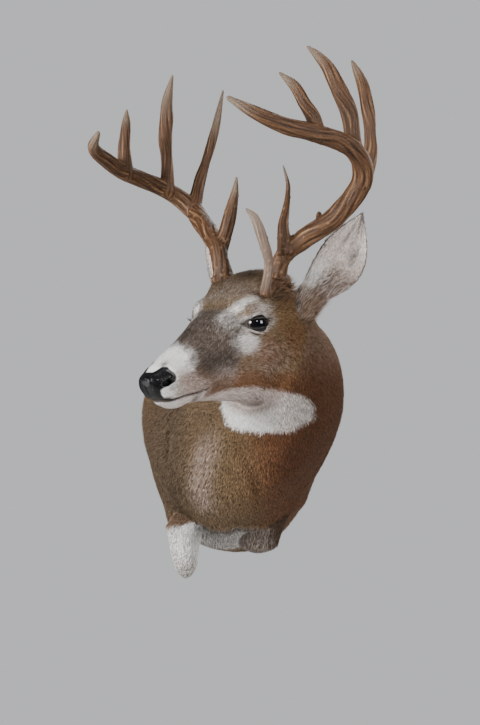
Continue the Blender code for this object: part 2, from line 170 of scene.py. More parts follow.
def both_sides(head):
    """Places of the head with its right side laid on its left."""
    return head * (1, 0, 1) + np.abs(head) * (0, 1, 0)


def ramp(value, low, high):
    """0 below low, 1 above high, a smooth step between. Low may be the larger."""
    share = np.clip((value - low) / (high - low), 0, 1)
    return share * share * (3 - 2 * share)


def spot(places, middle, reach):
    """A soft spot: 1 at its middle, fading over its reach along each direction."""
    offset = (places - np.array(middle)) / np.array(reach)
    return np.exp(-(offset ** 2).sum(-1))


def peaks(places, *rows):
    """The highest of several soft spots: their height, middle and reach."""
    return most(*(height * spot(places, middle, reach) for height, middle, reach in rows))


def line_distance(places, points):
    """Distance to a line through points, and the share along it of the nearest place."""
    points = np.asarray(points, float)
    best = np.full(places.shape[:-1], 1e9)
    along = np.zeros(places.shape[:-1])
    for number, (start, end) in enumerate(zip(points, points[1:])):
        span = end - start
        share = np.clip(((places - start) @ span) / (span @ span), 0, 1)
        far = np.linalg.norm(places - start - share[..., None] * span, axis=-1)
        nearer = far < best
        best = np.where(nearer, far, best)
        along = np.where(nearer, (number + share) / (len(points) - 1), along)
    return best, along


def crease(places, points, width):
    """1 on a line through points, fading over its width and to its two ends."""
    far, along = line_distance(places, points)
    return bell(far / width) * ramp(along, 0.0, 0.15) * ramp(along, 1.0, 0.85)


print("ramps and spots ready")

# %% [markdown]
# ## The form under the hide
# The hide follows a form from the nose to the wall, given by the upright sections that the solids
# were lofted through: each has a top, a bottom, a half width, the height where it is widest, and
# how boxy it is above and below.

# %% Sections of the form
# ahead at the top and the bottom, height of the top and the bottom, half width, widest place,
# boxiness above and below
HEAD_SECTIONS = (
    (16.2, 15.9, -7.6, -8.9, 1.0, 0.5, 2.2, 2.2),  # front of the nose
    (15.7, 15.3, -7.05, -9.7, 1.75, 0.5, 2.4, 2.4),
    (14.6, 14.1, -6.3, -10.6, 2.4, 0.52, 2.4, 2.4),  # nostrils
    (13.2, 12.6, -5.0, -11.6, 2.75, 0.48, 2.3, 2.3),
    (11.0, 10.7, -3.5, -11.9, 3.0, 0.46, 2.2, 2.2),  # lips
    (8.8, 8.8, -2.0, -11.5, 3.45, 0.48, 2.2, 2.1),
    (5.8, 5.8, 0.1, -11.2, 4.1, 0.52, 2.3, 2.1),  # bridge
    (3.0, 3.0, 2.05, -11.2, 4.9, 0.64, 2.8, 2.0),
    (0.9, 1.2, 3.7, -11.2, 5.75, 0.78, 3.5, 1.9),  # eyes
    (-1.2, -0.4, 5.1, -11.2, 6.1, 0.76, 3.7, 1.9),
    (-3.6, -2.0, 6.7, -11.3, 6.2, 0.7, 4.2, 2.0),  # forehead
    (-6.6, -3.6, 8.0, -11.5, 6.4, 0.62, 3.6, 2.1),  # crown
    (-9.8, -5.4, 7.0, -12.1, 7.1, 0.52, 2.1, 2.1),  # back of the skull and throat
)
# aside, out and height of the top, the same of the bottom, half width, turn, then as above
BODY_SECTIONS = (
    (7.7, 23.4, 4.4, 3.6, 30.4, -14.8, 8.5, 26.0, 0.5, 2.3, 2.1),  # behind the ears
    (6.5, 18.6, 2.8, 2.1, 30.4, -19.6, 11.0, 18.0, 0.52, 2.3, 2.1),
    (4.5, 13.8, 2.0, 0.2, 29.0, -24.6, 13.5, 10.0, 0.54, 2.5, 2.1),  # root of the neck
    (2.4, 9.4, 1.6, -0.8, 25.5, -28.6, 15.4, 4.0, 0.56, 2.5, 1.9),  # shoulders and brisket
    (1.0, 6.0, 1.4, -0.9, 20.6, -32.0, 16.2, 0.0, 0.58, 2.4, 1.7),
    (0.9, 3.6, 1.1, -2.8, 11.6, -35.4, 14.7, 0.0, 0.59, 2.4, 2.0),
    (1.3, 1.83, 0.8, -2.1, 1.83, -37.2, 13.2, 0.0, 0.62, 2.2, 2.1),  # rear edge
)
# Columns of a row: top and bottom (metres), half width, turn, widest, boxy above, boxy below
SECTION_ROWS = np.array(
    [[*on_head((ahead_top, 0, top)), *on_head((ahead_bottom, 0, bottom)),
      half_width, HEAD_TURN, widest, above, below]
     for ahead_top, ahead_bottom, top, bottom, half_width, widest, above, below in HEAD_SECTIONS]
    + [[*on_body(*row[0:3]), *on_body(*row[3:6]), *row[6:]] for row in BODY_SECTIONS])
LAST_SECTION = len(SECTION_ROWS) - 1
ARC = np.linspace(0, pi, 361)
ARC_SIDE, ARC_HEIGHT = np.abs(np.sin(ARC)), np.cos(ARC)


def smooth_rows(rows, t):
    """Rows of a table read at places t, on curves that never overshoot."""
    steps = np.diff(rows, axis=0)
    product = steps[:-1] * steps[1:]
    total = steps[:-1] + steps[1:]
    inner = np.where(product > 0, 2 * product / np.where(total == 0, 1, total), 0.0)
    slope = np.vstack([steps[:1], inner, steps[-1:]])
    i = np.clip(t.astype(int), 0, len(rows) - 2)
    u = (t - i)[:, None]
    return (rows[i] + (3 * u ** 2 - 2 * u ** 3) * (rows[i + 1] - rows[i])
            + (u ** 3 - 2 * u ** 2 + u) * slope[i] + (u ** 3 - u ** 2) * slope[i + 1])


def outlines(t):
    """The middle line of each section, top to bottom, and how far its left side lies out."""
    rows = smooth_rows(SECTION_ROWS, np.asarray(t, float))
    top, bottom = rows[:, None, 0:3], rows[:, None, 3:6]
    half_width, turn, widest = rows[:, 6:7], np.radians(rows[:, 7]), rows[:, 8:9]
    boxy = np.where(ARC_HEIGHT >= 0, rows[:, 9:10], rows[:, 10:11])
    rise = np.abs(ARC_HEIGHT) ** (2 / boxy)
    share = widest + rise * np.where(ARC_HEIGHT >= 0, 1 - widest, -widest)
    leftwards = np.stack((np.cos(turn), -np.sin(turn), 0 * turn), -1)
    reach = half_width * 0.01 * ARC_SIDE ** (2 / boxy)
    return bottom + (top - bottom) * share[..., None], leftwards[:, None] * reach[..., None]


print("sections:", len(SECTION_ROWS))

# %% [markdown]
# ## A grid that is fine where the face needs it
# One grid of rings runs from nose to wall, so no seam can show. Rings stand under a millimetre
# apart at the eyes and about five on the chest, and their points gather at the eyes and the mouth.

# %% The skin's grid
HALF_ROUND = 124  # steps from the top of a ring to its bottom
ROUND = 2 * HALF_ROUND
RING_SPACING = ((0, 0.11), (5, 0.14), (6.5, 0.11), (7.4, 0.085), (9.8, 0.085), (10.8, 0.16),
                (12, 0.24), (13.5, 0.42), (19, 0.5))  # section, centimetres


def ring_places():
    """The place of every ring along the form."""
    fine = np.linspace(0, LAST_SECTION, 1901)
    middle, reach = outlines(fine)
    moved = np.diff(middle + reach, axis=0)
    far = np.linalg.norm(moved, axis=-1).mean(1) * 100
    spacing = np.interp(fine[1:], *zip(*RING_SPACING))
    count = np.concatenate([[0], np.cumsum(far / spacing)])
    rings = int(count[-1]) + 1
    return np.interp(np.linspace(0, count[-1], rings), count, fine)


def ring_points(t):
    """The points round each ring, gathered at the eyes and the mouth."""
    middle, reach = outlines(t)
    left, right = middle + reach, middle - reach
    height = from_head(left)[..., 2]
    near_eyes = ramp(t, 5.5, 7.0) * ramp(t, 11.5, 10.0)
    near_mouth = ramp(t, 7.0, 5.5)
    weight = (1 + 1.6 * near_eyes[:, None] * bell((height - 0.2) / 2.2)
              + 1.5 * near_mouth[:, None] * bell((height + 10.0) / 1.2))
    step = np.linalg.norm(np.diff(left, axis=1), axis=-1) * (weight[:, 1:] + weight[:, :-1]) / 2
    total = np.concatenate([np.zeros((len(t), 1)), np.cumsum(step, axis=1)], axis=1)
    total /= total[:, -1:]
    places = np.linspace(0, 1, HALF_ROUND + 1)
    left, right = ([np.stack([np.interp(places, row_total, row[:, k]) for k in range(3)], -1)
                    for row_total, row in zip(total, side)] for side in (left, right))
    return np.concatenate([left, np.array(right)[:, -2:0:-1]], axis=1)


def grid_normals(grid):
    """Outward directions of a grid of rings."""
    along = np.gradient(grid, axis=0)
    across = np.roll(grid, -1, axis=1) - np.roll(grid, 1, axis=1)
    return unit(np.cross(across, along))


RING_T = ring_places()
form = ring_points(RING_T)
form_normal = grid_normals(form)
print("grid:", form.shape[0], "rings of", ROUND, "points")

# %% [markdown]
# ## Sculpting the head
# The hide lies inside the solids by the depth of the coat: a millimetre on the face and more than
# three on the chest. Soft moves outwards and inwards sculpt it: hollows beside the bridge, a ridge
# under the eye, the jaw muscle, nostrils, the lips' groove and the furrow below the eye's corner.

# %% Coat depth and face forms
COAT_DEPTH = ((0, 0.02), (1.8, 0.05), (3, 0.1), (7, 0.14), (10, 0.22), (12, 0.28), (14, 0.34),
              (19, 0.34))  # section, centimetres
MOUTH_LINE = ((6.6, -8.5), (7.3, -9.25), (8.3, -9.6), (10.7, -9.95), (12.4, -10.45), (13.0, -10.6),
              (14.6, -10.6), (15.6, -10.1), (16.4, -9.6))  # ahead, up
NOSTRIL = ((13.75, 1.95, -6.6), (13.3, 2.2, -6.9), (12.95, 2.35, -7.3), (13.15, 2.5, -7.75),
           (13.7, 2.55, -8.1), (14.5, 2.25, -8.4))
TEAR_FURROW = ((1.9, 4.9, -0.2), (2.5, 4.82, -0.9), (2.85, 4.74, -1.5), (3.0, 4.72, -2.2))
CHEEK_RIDGE = ((4.2, 4.5, -3.0), (1.0, 5.4, -3.4), (-2.0, 5.9, -2.9), (-6.5, 6.5, -1.0))


def mouth_offset(places):
    """How far above the line of the lips places lie, in centimetres."""
    ahead, up = zip(*MOUTH_LINE)
    return places[..., 2] - np.interp(places[..., 0], ahead, up)


def nostril_share(places):
    """1 along the middle of a nostril's comma-shaped slit."""
    far, along = line_distance(places, NOSTRIL)
    return bell(far / np.interp(along, (0, 0.5, 0.85, 1), (0.14, 0.21, 0.3, 0.2)))


def face_moves(places):
    """How far the hide of the head moves outwards, in centimetres."""
    both = both_sides(places)
    move = np.zeros(places.shape[:-1])
    for middle, reach, height in (
            ((6.8, 3.8, -3.4), (2.6, 2.0, 1.5), -0.28),  # hollow beside the bridge
            ((2.0, 4.4, -6.8), (2.4, 2.0, 2.4), -0.3),  # cheek before the jaw muscle
            ((-4.2, 5.9, -6.4), (3.4, 3.0, 3.0), 0.16),  # jaw muscle
            ((11.6, 3.0, -8.4), (2.2, 1.8, 1.4), 0.12),  # lip pad
            ((-0.6, 5.0, 2.9), (2.6, 2.2, 0.9), 0.16),  # brow
            ((0.9, 4.3, 2.8), (1.6, 1.3, 1.0), 0.16),  # rim of the eye socket
            ((-5.0, 5.7, 4.6), (2.0, 1.6, 2.0), 1.0),  # foot of an antler
            ((-9.2, 7.0, 1.8), (2.0, 2.2, 2.4), 0.7),  # root of an ear
            ((-4.8, 6.2, 1.6), (1.8, 2.0, 1.8), -0.3),  # temple
            ((2.2, 4.2, 1.2), (1.4, 1.6, 1.4), -0.22),  # before the eye
            ((14.3, 2.4, -6.4), (0.8, 0.9, 0.5), 0.1),  # rim above the nostril
            ((8.5, 0.0, -11.6), (2.0, 3.0, 1.0), -0.2),  # behind the chin
            ((3.5, 0.0, -12.0), (4.0, 2.2, 1.6), -0.35)):  # between the jaw bones
        move += height * spot(both, middle, reach)
    move += 0.2 * crease(both, CHEEK_RIDGE, 0.8)
    move -= 0.3 * crease(both, TEAR_FURROW, 0.24)
    move += 0.12 * spot(both, (13.7, 2.4, -7.35), (0.45, 0.6, 0.35)) - 0.85 * nostril_share(both)
    philtrum = bell(places[..., 1] / 0.1) * ramp(places[..., 0], 14.6, 15.4)
    move -= 0.1 * philtrum * ramp(places[..., 2], -7.6, -8.2)
    lips = ramp(places[..., 0], 6.4, 7.4)
    offset = mouth_offset(places)
    move -= 0.42 * lips * bell(offset / 0.15)
    move += 0.08 * lips * bell((offset - 0.45) / 0.3)
    move -= 0.14 * lips * ramp(offset, 0.05, -0.15) * ramp(offset, -1.6, -0.9)
    return move


head_share = ramp(RING_T, 13.4, 11.6)[:, None]
form_head = from_head(form)
inward = np.interp(RING_T, *zip(*COAT_DEPTH))[:, None]
move = head_share * face_moves(form_head) - inward
print("deepest nostril", round(float(move.min()), 2), "cm")

# %% [markdown]
# ## Sculpting the neck and the chest
# A buck's swollen neck shows soft upright folds, a valley between its two long muscles, and a
# crease through the white throat. At the brisket the long hair ends in a hem, and the hide steps
# back under it towards the legs.

# %% Neck and chest forms
THROAT_CREASE = ((1.5, -29.6, 7.4), (3.4, -30.8, 6.3), (5.4, -31.6, 5.0), (7.4, -31.9, 3.7),
                 (8.6, -31.9, 3.0))
NECK_VALLEY = ((-0.6, -27.3, 7.0), (0.9, -29.0, 3.5), (2.0, -30.0, 2.0), (3.2, -30.6, -1.0),
               (4.4, -30.0, -4.0), (5.6, -28.6, -7.5), (6.0, -27.0, -10.0))
NECK_RIDGE = ((-1.6, -27.4, 4.5), (-2.6, -28.4, 0.0), (-3.5, -28.2, -4.5), (-3.8, -27.2, -8.0))
SIDE_FOLDS = (((-9.3, -22.6, 3.4), (-9.4, -23.6, 0.5), (-9.6, -24.2, -2.6)),
              ((-7.2, -25.4, -2.2), (-7.0, -25.6, -5.5), (-6.6, -24.8, -10.0)),
              ((-5.6, -25.2, 6.0), (-5.9, -26.4, 3.0), (-6.0, -27.0, -0.5)))
HEM_HEIGHT = -12.3  # centimetres: where the chest hair ends


def hem_height(places):
    """The height of the hair's hem across the chest."""
    aside = places[..., 0]
    dips = 0.35 * np.sin(aside * 0.9 + 0.6) + 0.18 * np.sin(aside * 2.3)
    return HEM_HEIGHT + dips + 0.008 * aside ** 2


def body_moves(places):
    """How far the hide of the neck and chest moves outwards; places are centimetres."""
    move = -0.5 * crease(places, THROAT_CREASE, 0.55)
    move += 0.8 * spot(places, (10.2, -10.0, -10.3), (2.6, 7.0, 1.4))
    move += 1.5 * spot(places, (-9.6, -17.0, -12.2), (2.8, 8.0, 2.2))
    move += 0.3 * spot(places, (9.5, -31.0, 5.6), (3.0, 3.0, 2.2))
    move -= 0.55 * crease(places, NECK_VALLEY, 0.95)
    move += 0.35 * crease(places, NECK_RIDGE, 1.8)
    for fold in SIDE_FOLDS:
        move -= 0.46 * crease(places, fold, 0.6)
    under = ramp(places[..., 2] - hem_height(places), 0.15, -0.5)
    under = under * ramp(places[..., 1], -12.0, -16.0) * ramp(np.abs(places[..., 0] - 0.5), 10.5, 8.5)
    return move - 0.75 * under


form_body = form * 100
move += ramp(RING_T, 11.6, 12.6)[:, None] * body_moves(form_body)
skin = form + form_normal * move[..., None] * 0.01
print("body folds done")

# %% [markdown]
# ## Eyelids
# The skin near each eye is drawn on to a ball a little larger than the glass eye, so the lids lie
# thin over it. Inside an almond-shaped opening the skin dives behind the glass.

# %% Lids over the eyes
OPENING = (0.06, 0.03, 1.8, 0.7)  # its middle from the ball's middle, half length, half height
OPENING_TURN = radians(24.0)  # it faces a little forwards
OPENING_LEAN = 0.12  # the front corner lies lower
LID = 0.17  # thickness of a lid, centimetres


def eye_middle(sign):
    """The middle of the left eye (1) or the right (-1) in the head."""
    return np.array(EYE_PLACE) * (1, sign, 1)


def opening_place(offset):
    """How far out from an eye's opening places lie: 1 is its edge.

    Offset is from the ball's middle: ahead, outwards and up.
    """
    front, up, half_length, half_height = OPENING
    along = offset[..., 0] * cos(OPENING_TURN) - offset[..., 1] * sin(OPENING_TURN) - front
    lengthwise = along / half_length
    upright = (offset[..., 2] - up + OPENING_LEAN * along) / half_height
    upright = np.where(upright > 0, upright * 0.94, upright * 1.06)
    return np.sqrt(np.abs(lengthwise) ** 2.3 + np.abs(upright) ** 2)


def draw_over_eye(places, sign):
    """Places of the head, with those near one eye drawn over its ball."""
    middle = eye_middle(sign)
    offset = places - middle
    outwards = offset[..., 1] * sign
    facing = offset[..., 0] * sin(OPENING_TURN) + outwards * cos(OPENING_TURN)
    out = ramp(facing, -1.2, -0.5)
    edge = opening_place(offset * (1, sign, 1))
    sunk = EYE_RADIUS - 0.45
    cover = EYE_RADIUS + LID
    radius = sunk + (cover - sunk) * ramp(edge, 0.93, 1.03)
    above = ramp(offset[..., 2], -0.3, 0.5)
    radius = radius + 0.05 * bell((edge - 1.2) / 0.13)
    radius = radius - 0.13 * (0.12 + 0.88 * above) * bell((edge - 1.5) / 0.12)
    on_ball = middle + unit(offset) * radius[..., None]
    share = ramp(edge, 2.0, 1.12) * out
    return places + (on_ball - places) * share[..., None]


head_rows = RING_T < 12
places = from_head(skin[head_rows])
for sign in (1, -1):
    places = draw_over_eye(places, sign)
skin[head_rows] = on_head(places)
print("lids drawn over both eyes")

# %% [markdown]
# ## Shells
# The skin, ears and foreleg stumps are all grids of rings with closed ends. A shell keeps its
# rings with its rectangle in the unwrap: one function makes its mesh and another sows its hair.

# %% Shells and their mesh
Shell = namedtuple("Shell", "rings patch")       # patch: u and v of its low and high corners
SKIN_PATCH = ((0.01, 0.01), (0.99, 0.7))


def closed_faces(rows, columns):
    """Quads of a grid's rings, and triangles to its ends' middles, the two points after its own."""
    i, j = np.divmod(np.arange((rows - 1) * columns), columns)
    after = (j + 1) % columns
    quads = np.stack((i * columns + j, i * columns + after, (i + 1) * columns + after,
                      (i + 1) * columns + j), -1)
    around = np.arange(columns)
    after, last = (around + 1) % columns, (rows - 1) * columns
    front = np.stack((np.full(columns, rows * columns), after, around), -1)
    rear = np.stack((np.full(columns, rows * columns + 1), last + around, last + after), -1)
    return quads, np.concatenate([front, rear])


def joined(parts):
    """Several (points, quads, triangles) as points and face arrays."""
    starts = np.cumsum([0] + [len(part[0]) for part in parts[:-1]])
    return (np.concatenate([part[0] for part in parts]),
        [np.concatenate([part[kind] + start for part, start in zip(parts, starts)]) for kind in (1, 2)])


def ring_distances(rings):
    """How far along a shell each ring lies."""
    step = np.linalg.norm(np.diff(rings, axis=0), axis=-1).mean(1)
    return np.concatenate([[0], np.cumsum(step)])


def ring_shares(rings):
    """How far along a shell each ring lies, from 0 to 1."""
    distances = ring_distances(rings)
    return distances / distances[-1]


def shell_uv(shell, row, column):
    """The unwrap's place of a shell's point, from its row and column."""
    shares = ring_shares(shell.rings)
    (u0, v0), (u1, v1) = shell.patch
    u = u0 + (u1 - u0) * np.interp(row, np.arange(len(shares)), shares)
    return np.stack((u, v0 + (v1 - v0) * column / shell.rings.shape[1]), -1)


def lie_uv(shell, row, column):
    """The same place in centimetres: along the shell, and round it."""
    distances = ring_distances(shell.rings) * 100
    step = np.linalg.norm(np.roll(shell.rings, -1, 1) - shell.rings, axis=-1).mean() * 100
    return np.stack((np.interp(row, np.arange(len(distances)), distances), column * step), -1)


def with_ends(field):
    """A shell's field as a row of values, then those of its two ends' middles."""
    return np.concatenate([field.reshape(-1, *field.shape[2:]), [field[0].mean(0)],
        [field[-1].mean(0)]])


def shell_arrays(shell):
    """Points, quads and end triangles of a closed shell."""
    return with_ends(shell.rings), *closed_faces(*shell.rings.shape[:2])


def shell_corners(shell):
    """Row and column of each face corner of a shell: its quads, then its ends."""
    rows, columns = shell.rings.shape[:2]
    i, j = np.divmod(np.arange((rows - 1) * columns), columns)
    around = np.arange(columns)
    end_columns = np.concatenate([np.stack((around + 0.5, around + 1, around), -1),
        np.stack((around + 0.5, around, around + 1), -1)])
    return ((np.stack((i, i, i + 1, i + 1), -1).ravel(), np.stack((j, j + 1, j + 1, j), -1).ravel()),
        (np.repeat((0, rows - 1), 3 * columns), end_columns.ravel()))


print("shell helpers ready")

# %% [markdown]
# ## Closing the hide
# The nose closes in a few shrinking rings. At the wall the hide turns in over the form's rear
# edge and closes flat behind the board.

# %% The hide's two ends
REAR_PLANE = 0.0183  # how far from the wall the hide's rear lies, metres
NOSE_BULGE = 0.0014


def shrink_to(ring, share, shift):
    """A ring drawn in towards its middle and moved by a shift in metres."""
    middle = ring.mean(0)
    return middle + (ring - middle) * share + shift


nose_rings = [shrink_to(skin[0], share, AHEAD * NOSE_BULGE * (1 - share ** 2))
              for share in (0.2, 0.42, 0.62, 0.79, 0.92)]
rear_edge = skin[-1] * (1, 0, 1) - (0, REAR_PLANE, 0)
rear_rings = [shrink_to(rear_edge, share, 0.0) for share in (0.97, 0.8, 0.4)]
hide = Shell(np.concatenate([nose_rings, skin[:-1], [rear_edge], rear_rings]), SKIN_PATCH)
HIDE_T = np.concatenate([np.zeros(len(nose_rings)), RING_T,
                         np.full(len(rear_rings), float(LAST_SECTION))])
print("hide:", hide.rings.shape[0] * ROUND, "points")

# %% [markdown]
# ## Ears and foreleg stumps
# An ear is a cupped leaf of gristle with soft ridges inside, rooted in a short funnel. The stumps
# are the tops of the forelegs, where the hide was cut and tucked under. Both are sunk into the
# hide, and the hair across their roots hides where they meet.

# %% Ear shells
Ear = namedtuple("Ear", "base tip faces half_width cup bow thickness patch")
EARS = {
    "left": Ear((-9.9, 7.0, 3.4), (-12.3, 15.2, 15.8), (0.74, 0.62, -0.2), 3.55, 2.2, 1.0, 0.55,
                ((0.01, 0.74), (0.3, 0.99))),
    "right": Ear((-9.8, -7.5, 3.2), (-12.0, -15.4, 15.6), (0.88, -0.3, -0.2), 3.5, 2.0, -0.7,
                 0.55, ((0.33, 0.74), (0.62, 0.99))),
}
EAR_ROWS, EAR_ARC = 64, 33
EAR_HAIR = 0.12  # depth of the hair on each face, centimetres
EAR_RIDGES = ((-0.75, 0.2), (-0.15, 0.26), (0.45, 0.22))  # angle across the cup, height


def ear_rings(ear):
    """Rings of an ear from root to tip: the back of the leaf, then its inside."""
    out = unit(on_head(ear.tip) - on_head(ear.base))
    opening = on_head(ear.faces) - EYES
    opening = unit(opening - out * (opening @ out))  # the way its cup opens
    across = np.cross(out, opening)
    base, tip = on_head(ear.base) * 100, on_head(ear.tip) * 100
    shares = np.concatenate([np.linspace(-0.2, 0.9, EAR_ROWS - 14), np.linspace(0.91, 0.985, 14)])
    angles = np.linspace(-pi / 2, pi / 2, EAR_ARC)
    rings = []
    for s in shares:
        swell = sin(pi * min(1.0, (max(s, 0.0) + 0.28) / 1.28) ** 1.3)
        half = ear.half_width * max(swell, 0.06)
        if s < 0.25:
            half = max(half, ear.half_width * 0.62)
        cup = ear.cup * (1 - 0.75 * s) * max(swell, 0.1) ** 0.5 + 0.1
        wall = ear.thickness * (1.0 - 0.6 * s)
        hollow = min(1.0, max(s, 0.0) / 0.22)
        belly = 0.75 * ear.cup * (1.0 - min(1.0, max(s + 0.02, 0.0) / 0.16))
        bow = ear.bow * max(sin(pi * s), 0.0) ** 1.2
        centre = base + (tip - base) * s + across * bow
        half -= EAR_HAIR * min(1.0, swell * 2)
        wavy = 1 + 0.02 * np.sin(9 * s + 3 * angles)
        back = (centre + np.outer(half * np.sin(angles) * wavy, across)
                - np.outer((cup - EAR_HAIR) * np.cos(angles), opening))
        depth = (max(cup - wall, 0.05) + EAR_HAIR) * hollow
        ridges = sum(height * bell((angles - place) / 0.14) for place, height in EAR_RIDGES)
        ridges = ridges * sin(pi * min(max(s, 0.0), 1.0)) ** 0.7
        front = (centre + np.outer((half - wall * 0.25) * np.sin(angles), across)
                 + np.outer(wall * 0.25 + ridges + (belly - depth) * np.cos(angles), opening))
        rings.append(np.concatenate([back[::-1], front[1:-1]]))
    return np.array(rings) * 0.01


ear_shells = {side: Shell(ear_rings(ear), ear.patch) for side, ear in EARS.items()}
print("ear points:", {side: shell.rings.shape[:2] for side, shell in ear_shells.items()})

# %% Foreleg stumps
Leg = namedtuple("Leg", "top bottom top_size bottom_size patch")
LEGS = {
    "right": Leg((-7.9, 18.5, -27.0), (-7.6, 18.5, -38.6), (3.6, 5.0), (1.6, 2.7),
                 ((0.65, 0.74), (0.8, 0.99))),
    "left": Leg((4.0, 13.0, -27.0), (2.9, 12.5, -35.4), (4.6, 5.0), (3.0, 3.8),
                ((0.83, 0.74), (0.98, 0.99))),
}
LEG_ROWS, LEG_ROUND = 48, 72
LEG_HAIR = 0.3


def leg_rings(leg):
    """Rings of a stump from inside the chest down to its rounded end."""
    top, bottom = on_body(*leg.top) * 100, on_body(*leg.bottom) * 100
    around = -2 * pi * np.arange(LEG_ROUND) / LEG_ROUND
    rings = []
    for share in np.concatenate([np.linspace(0, 0.8, LEG_ROWS - 16), np.linspace(0.81, 0.985, 16)]):
        width, depth = (a + (b - a) * share - LEG_HAIR for a, b in zip(leg.top_size, leg.bottom_size))
        tuck = (1 - max(share - 0.8, 0.0) ** 2 / 0.04 - max(0.3 - share, 0.0) ** 2 / 0.0905) ** 0.5
        lumpy = 1 + 0.025 * np.sin(3 * around + 5 * share) + 0.02 * np.sin(7 * share + around)
        middle = top + (bottom - top) * share
        sunk = max(0.32 - share, 0.0)
        middle += np.array((-6.0 * np.sign(leg.top[0]) * sunk, 12.0 * sunk, 0.0))
        rings.append(middle + np.stack((width * tuck * np.cos(around) * lumpy,
            depth * tuck * np.sin(around) * lumpy, 0 * around), -1))
    return np.array(rings) * 0.01


leg_shells = {side: Shell(leg_rings(leg), leg.patch) for side, leg in LEGS.items()}
print("stumps ready")

# %% [markdown]
# ## Markings
# White, dark, rufous and grey are numbers from 0 to 1 worked out from a place on the animal. A
# whitetail has a white band behind the nose, a white chin with a dark spot beside it, a pale ring
# round the eye, a white throat patch and a grizzled face. The same functions serve the hide's
# points and the root of every lock, so both agree.
# Some of the dark and pale is painted light: shadow under the jaw and the hem, shade in a neck fold, on
# the neck's far side and in the ears' hollows, and a highlight on the neck's ridge.

# %% Marking tables
BROW_BAND = ((4.0, 2.8, 0.7), (2.6, 3.3, 1.8), (1.4, 4.1, 2.6), (0.0, 4.9, 3.1), (-1.3, 5.5, 2.7))
CHIN_LINE = ((-7.5, -9.6), (-5.0, -9.1), (-2.4, -8.9), (2.2, -9.2), (4.5, -9.8), (6.6, -10.3))
NOSE_EDGE = ((-10.9, 13.6), (-10.3, 13.9), (-9.8, 14.4), (-9.2, 14.5), (-8.7, 13.9), (-8.35, 13.3),
             (-8.0, 12.8), (-7.3, 12.6), (-6.9, 12.8), (-6.4, 13.4), (-4.4, 13.6))  # height, ahead
NOSE_SIDE = ((-10.6, 1.7), (-9.8, 1.75), (-9.2, 1.95), (-8.7, 2.4), (-8.4, 9.0))  # height, aside

# Soft spots on both sides of the head: their strength, middle and reach
EYE_CORNERS = ((1.3, (1.8, 4.9, -0.15), (0.62, 0.8, 0.42)),
               (1.0, (-2.6, 5.9, 0.45), (0.7, 1.0, 0.26)))
DARK_SPOTS = (
    (0.85, (8.3, 2.6, -10.6), (0.75, 3.0, 1.0)),  # behind the lips
    (0.5, (-5.2, 1.5, -11.5), (2.4, 4.0, 0.9)),  # painted shadow where the jaw meets the throat
    (0.52, (6.9, 3.5, -5.6), (2.2, 1.8, 2.2)),  # beside the bridge
    (0.45, (8.0, 0.0, -1.6), (1.8, 2.4, 1.8)),  # on the bridge
    (0.75, (-5.6, 2.4, 7.4), (1.2, 1.4, 1.4)),  # between the antlers
    (0.6, (-3.9, 6.2, 4.1), (2.4, 2.0, 1.6)),  # before an antler's foot
    (0.9, (13.5, 1.15, -5.8), (0.9, 0.55, 0.6)),  # above the nose
    (0.6, (13.5, 2.5, -8.9), (0.7, 0.7, 0.45)))  # under a nostril
UNEVEN_DARK_SPOTS = (
    (0.3, (4.6, 3.6, -4.6), (2.2, 1.8, 1.8)), (0.2, (3.8, 1.4, 1.4), (1.6, 1.2, 1.4)),
    (0.8, (-5.8, 0.0, 7.4), (3.0, 3.6, 2.6)))
WARM_SPOTS = (
    (0.72, (-2.8, 5.7, -4.4), (3.6, 3.0, 3.0)), (0.55, (-7.0, 6.2, -2.0), (3.0, 3.0, 4.0)),
    (0.6, (1.6, 4.2, -7.0), (3.0, 3.0, 2.2)), (0.8, (-5.2, 5.4, 4.4), (2.4, 2.2, 2.4)),
    (0.55, (4.4, 4.0, -7.4), (3.6, 3.0, 2.0)))

print("dark spots:", len(DARK_SPOTS), "warm spots:", len(WARM_SPOTS))


# %% Markings of the head
def wobble(places, size, seed=0):
    """A smooth uneven pattern from -1 to 1, its waves about size long."""
    total = 0.0
    for number in range(4):
        turn = np.array((np.sin(1.7 * number + seed), np.cos(2.3 * number + seed),
            np.sin(3.1 * number + 1.3 + 2 * seed)))
        total = total + np.sin(places @ (turn * 2 * pi / size) + 2.1 * number + seed)
    return total / 4


def bare_nose(head):
    """1 on the bare black leather of the nose."""
    heights, edge = zip(*NOSE_EDGE)
    start = np.interp(head[..., 2], heights, edge)
    both = both_sides(head)
    top = -6.75 + 0.75 * ramp(both[..., 1], 0.6, 1.3)
    side = np.interp(head[..., 2], *zip(*NOSE_SIDE)) - np.abs(head[..., 1])
    return (ramp(head[..., 0] - start, -0.06, 0.14) * ramp(side, -0.08, 0.12)
            * ramp(head[..., 2] - top, 0.12, -0.12) * (1 - 0.8 * ramp(nostril_share(both), 0.2, 0.6))
            * ramp(mouth_offset(head), -0.12, 0.02))


def black_lips(both):
    """1 on the black edge of the lips, which is broadest at the front."""
    front = ramp(both[..., 0], 12.4, 13.8)
    line = np.exp(-((mouth_offset(both) + 0.05 - 0.12 * front) / (0.22 + 0.22 * front)) ** 4)
    return line * ramp(both[..., 0], 6.6, 7.4) * (0.8 + 0.2 * ramp(both[..., 0], 11.0, 12.5))


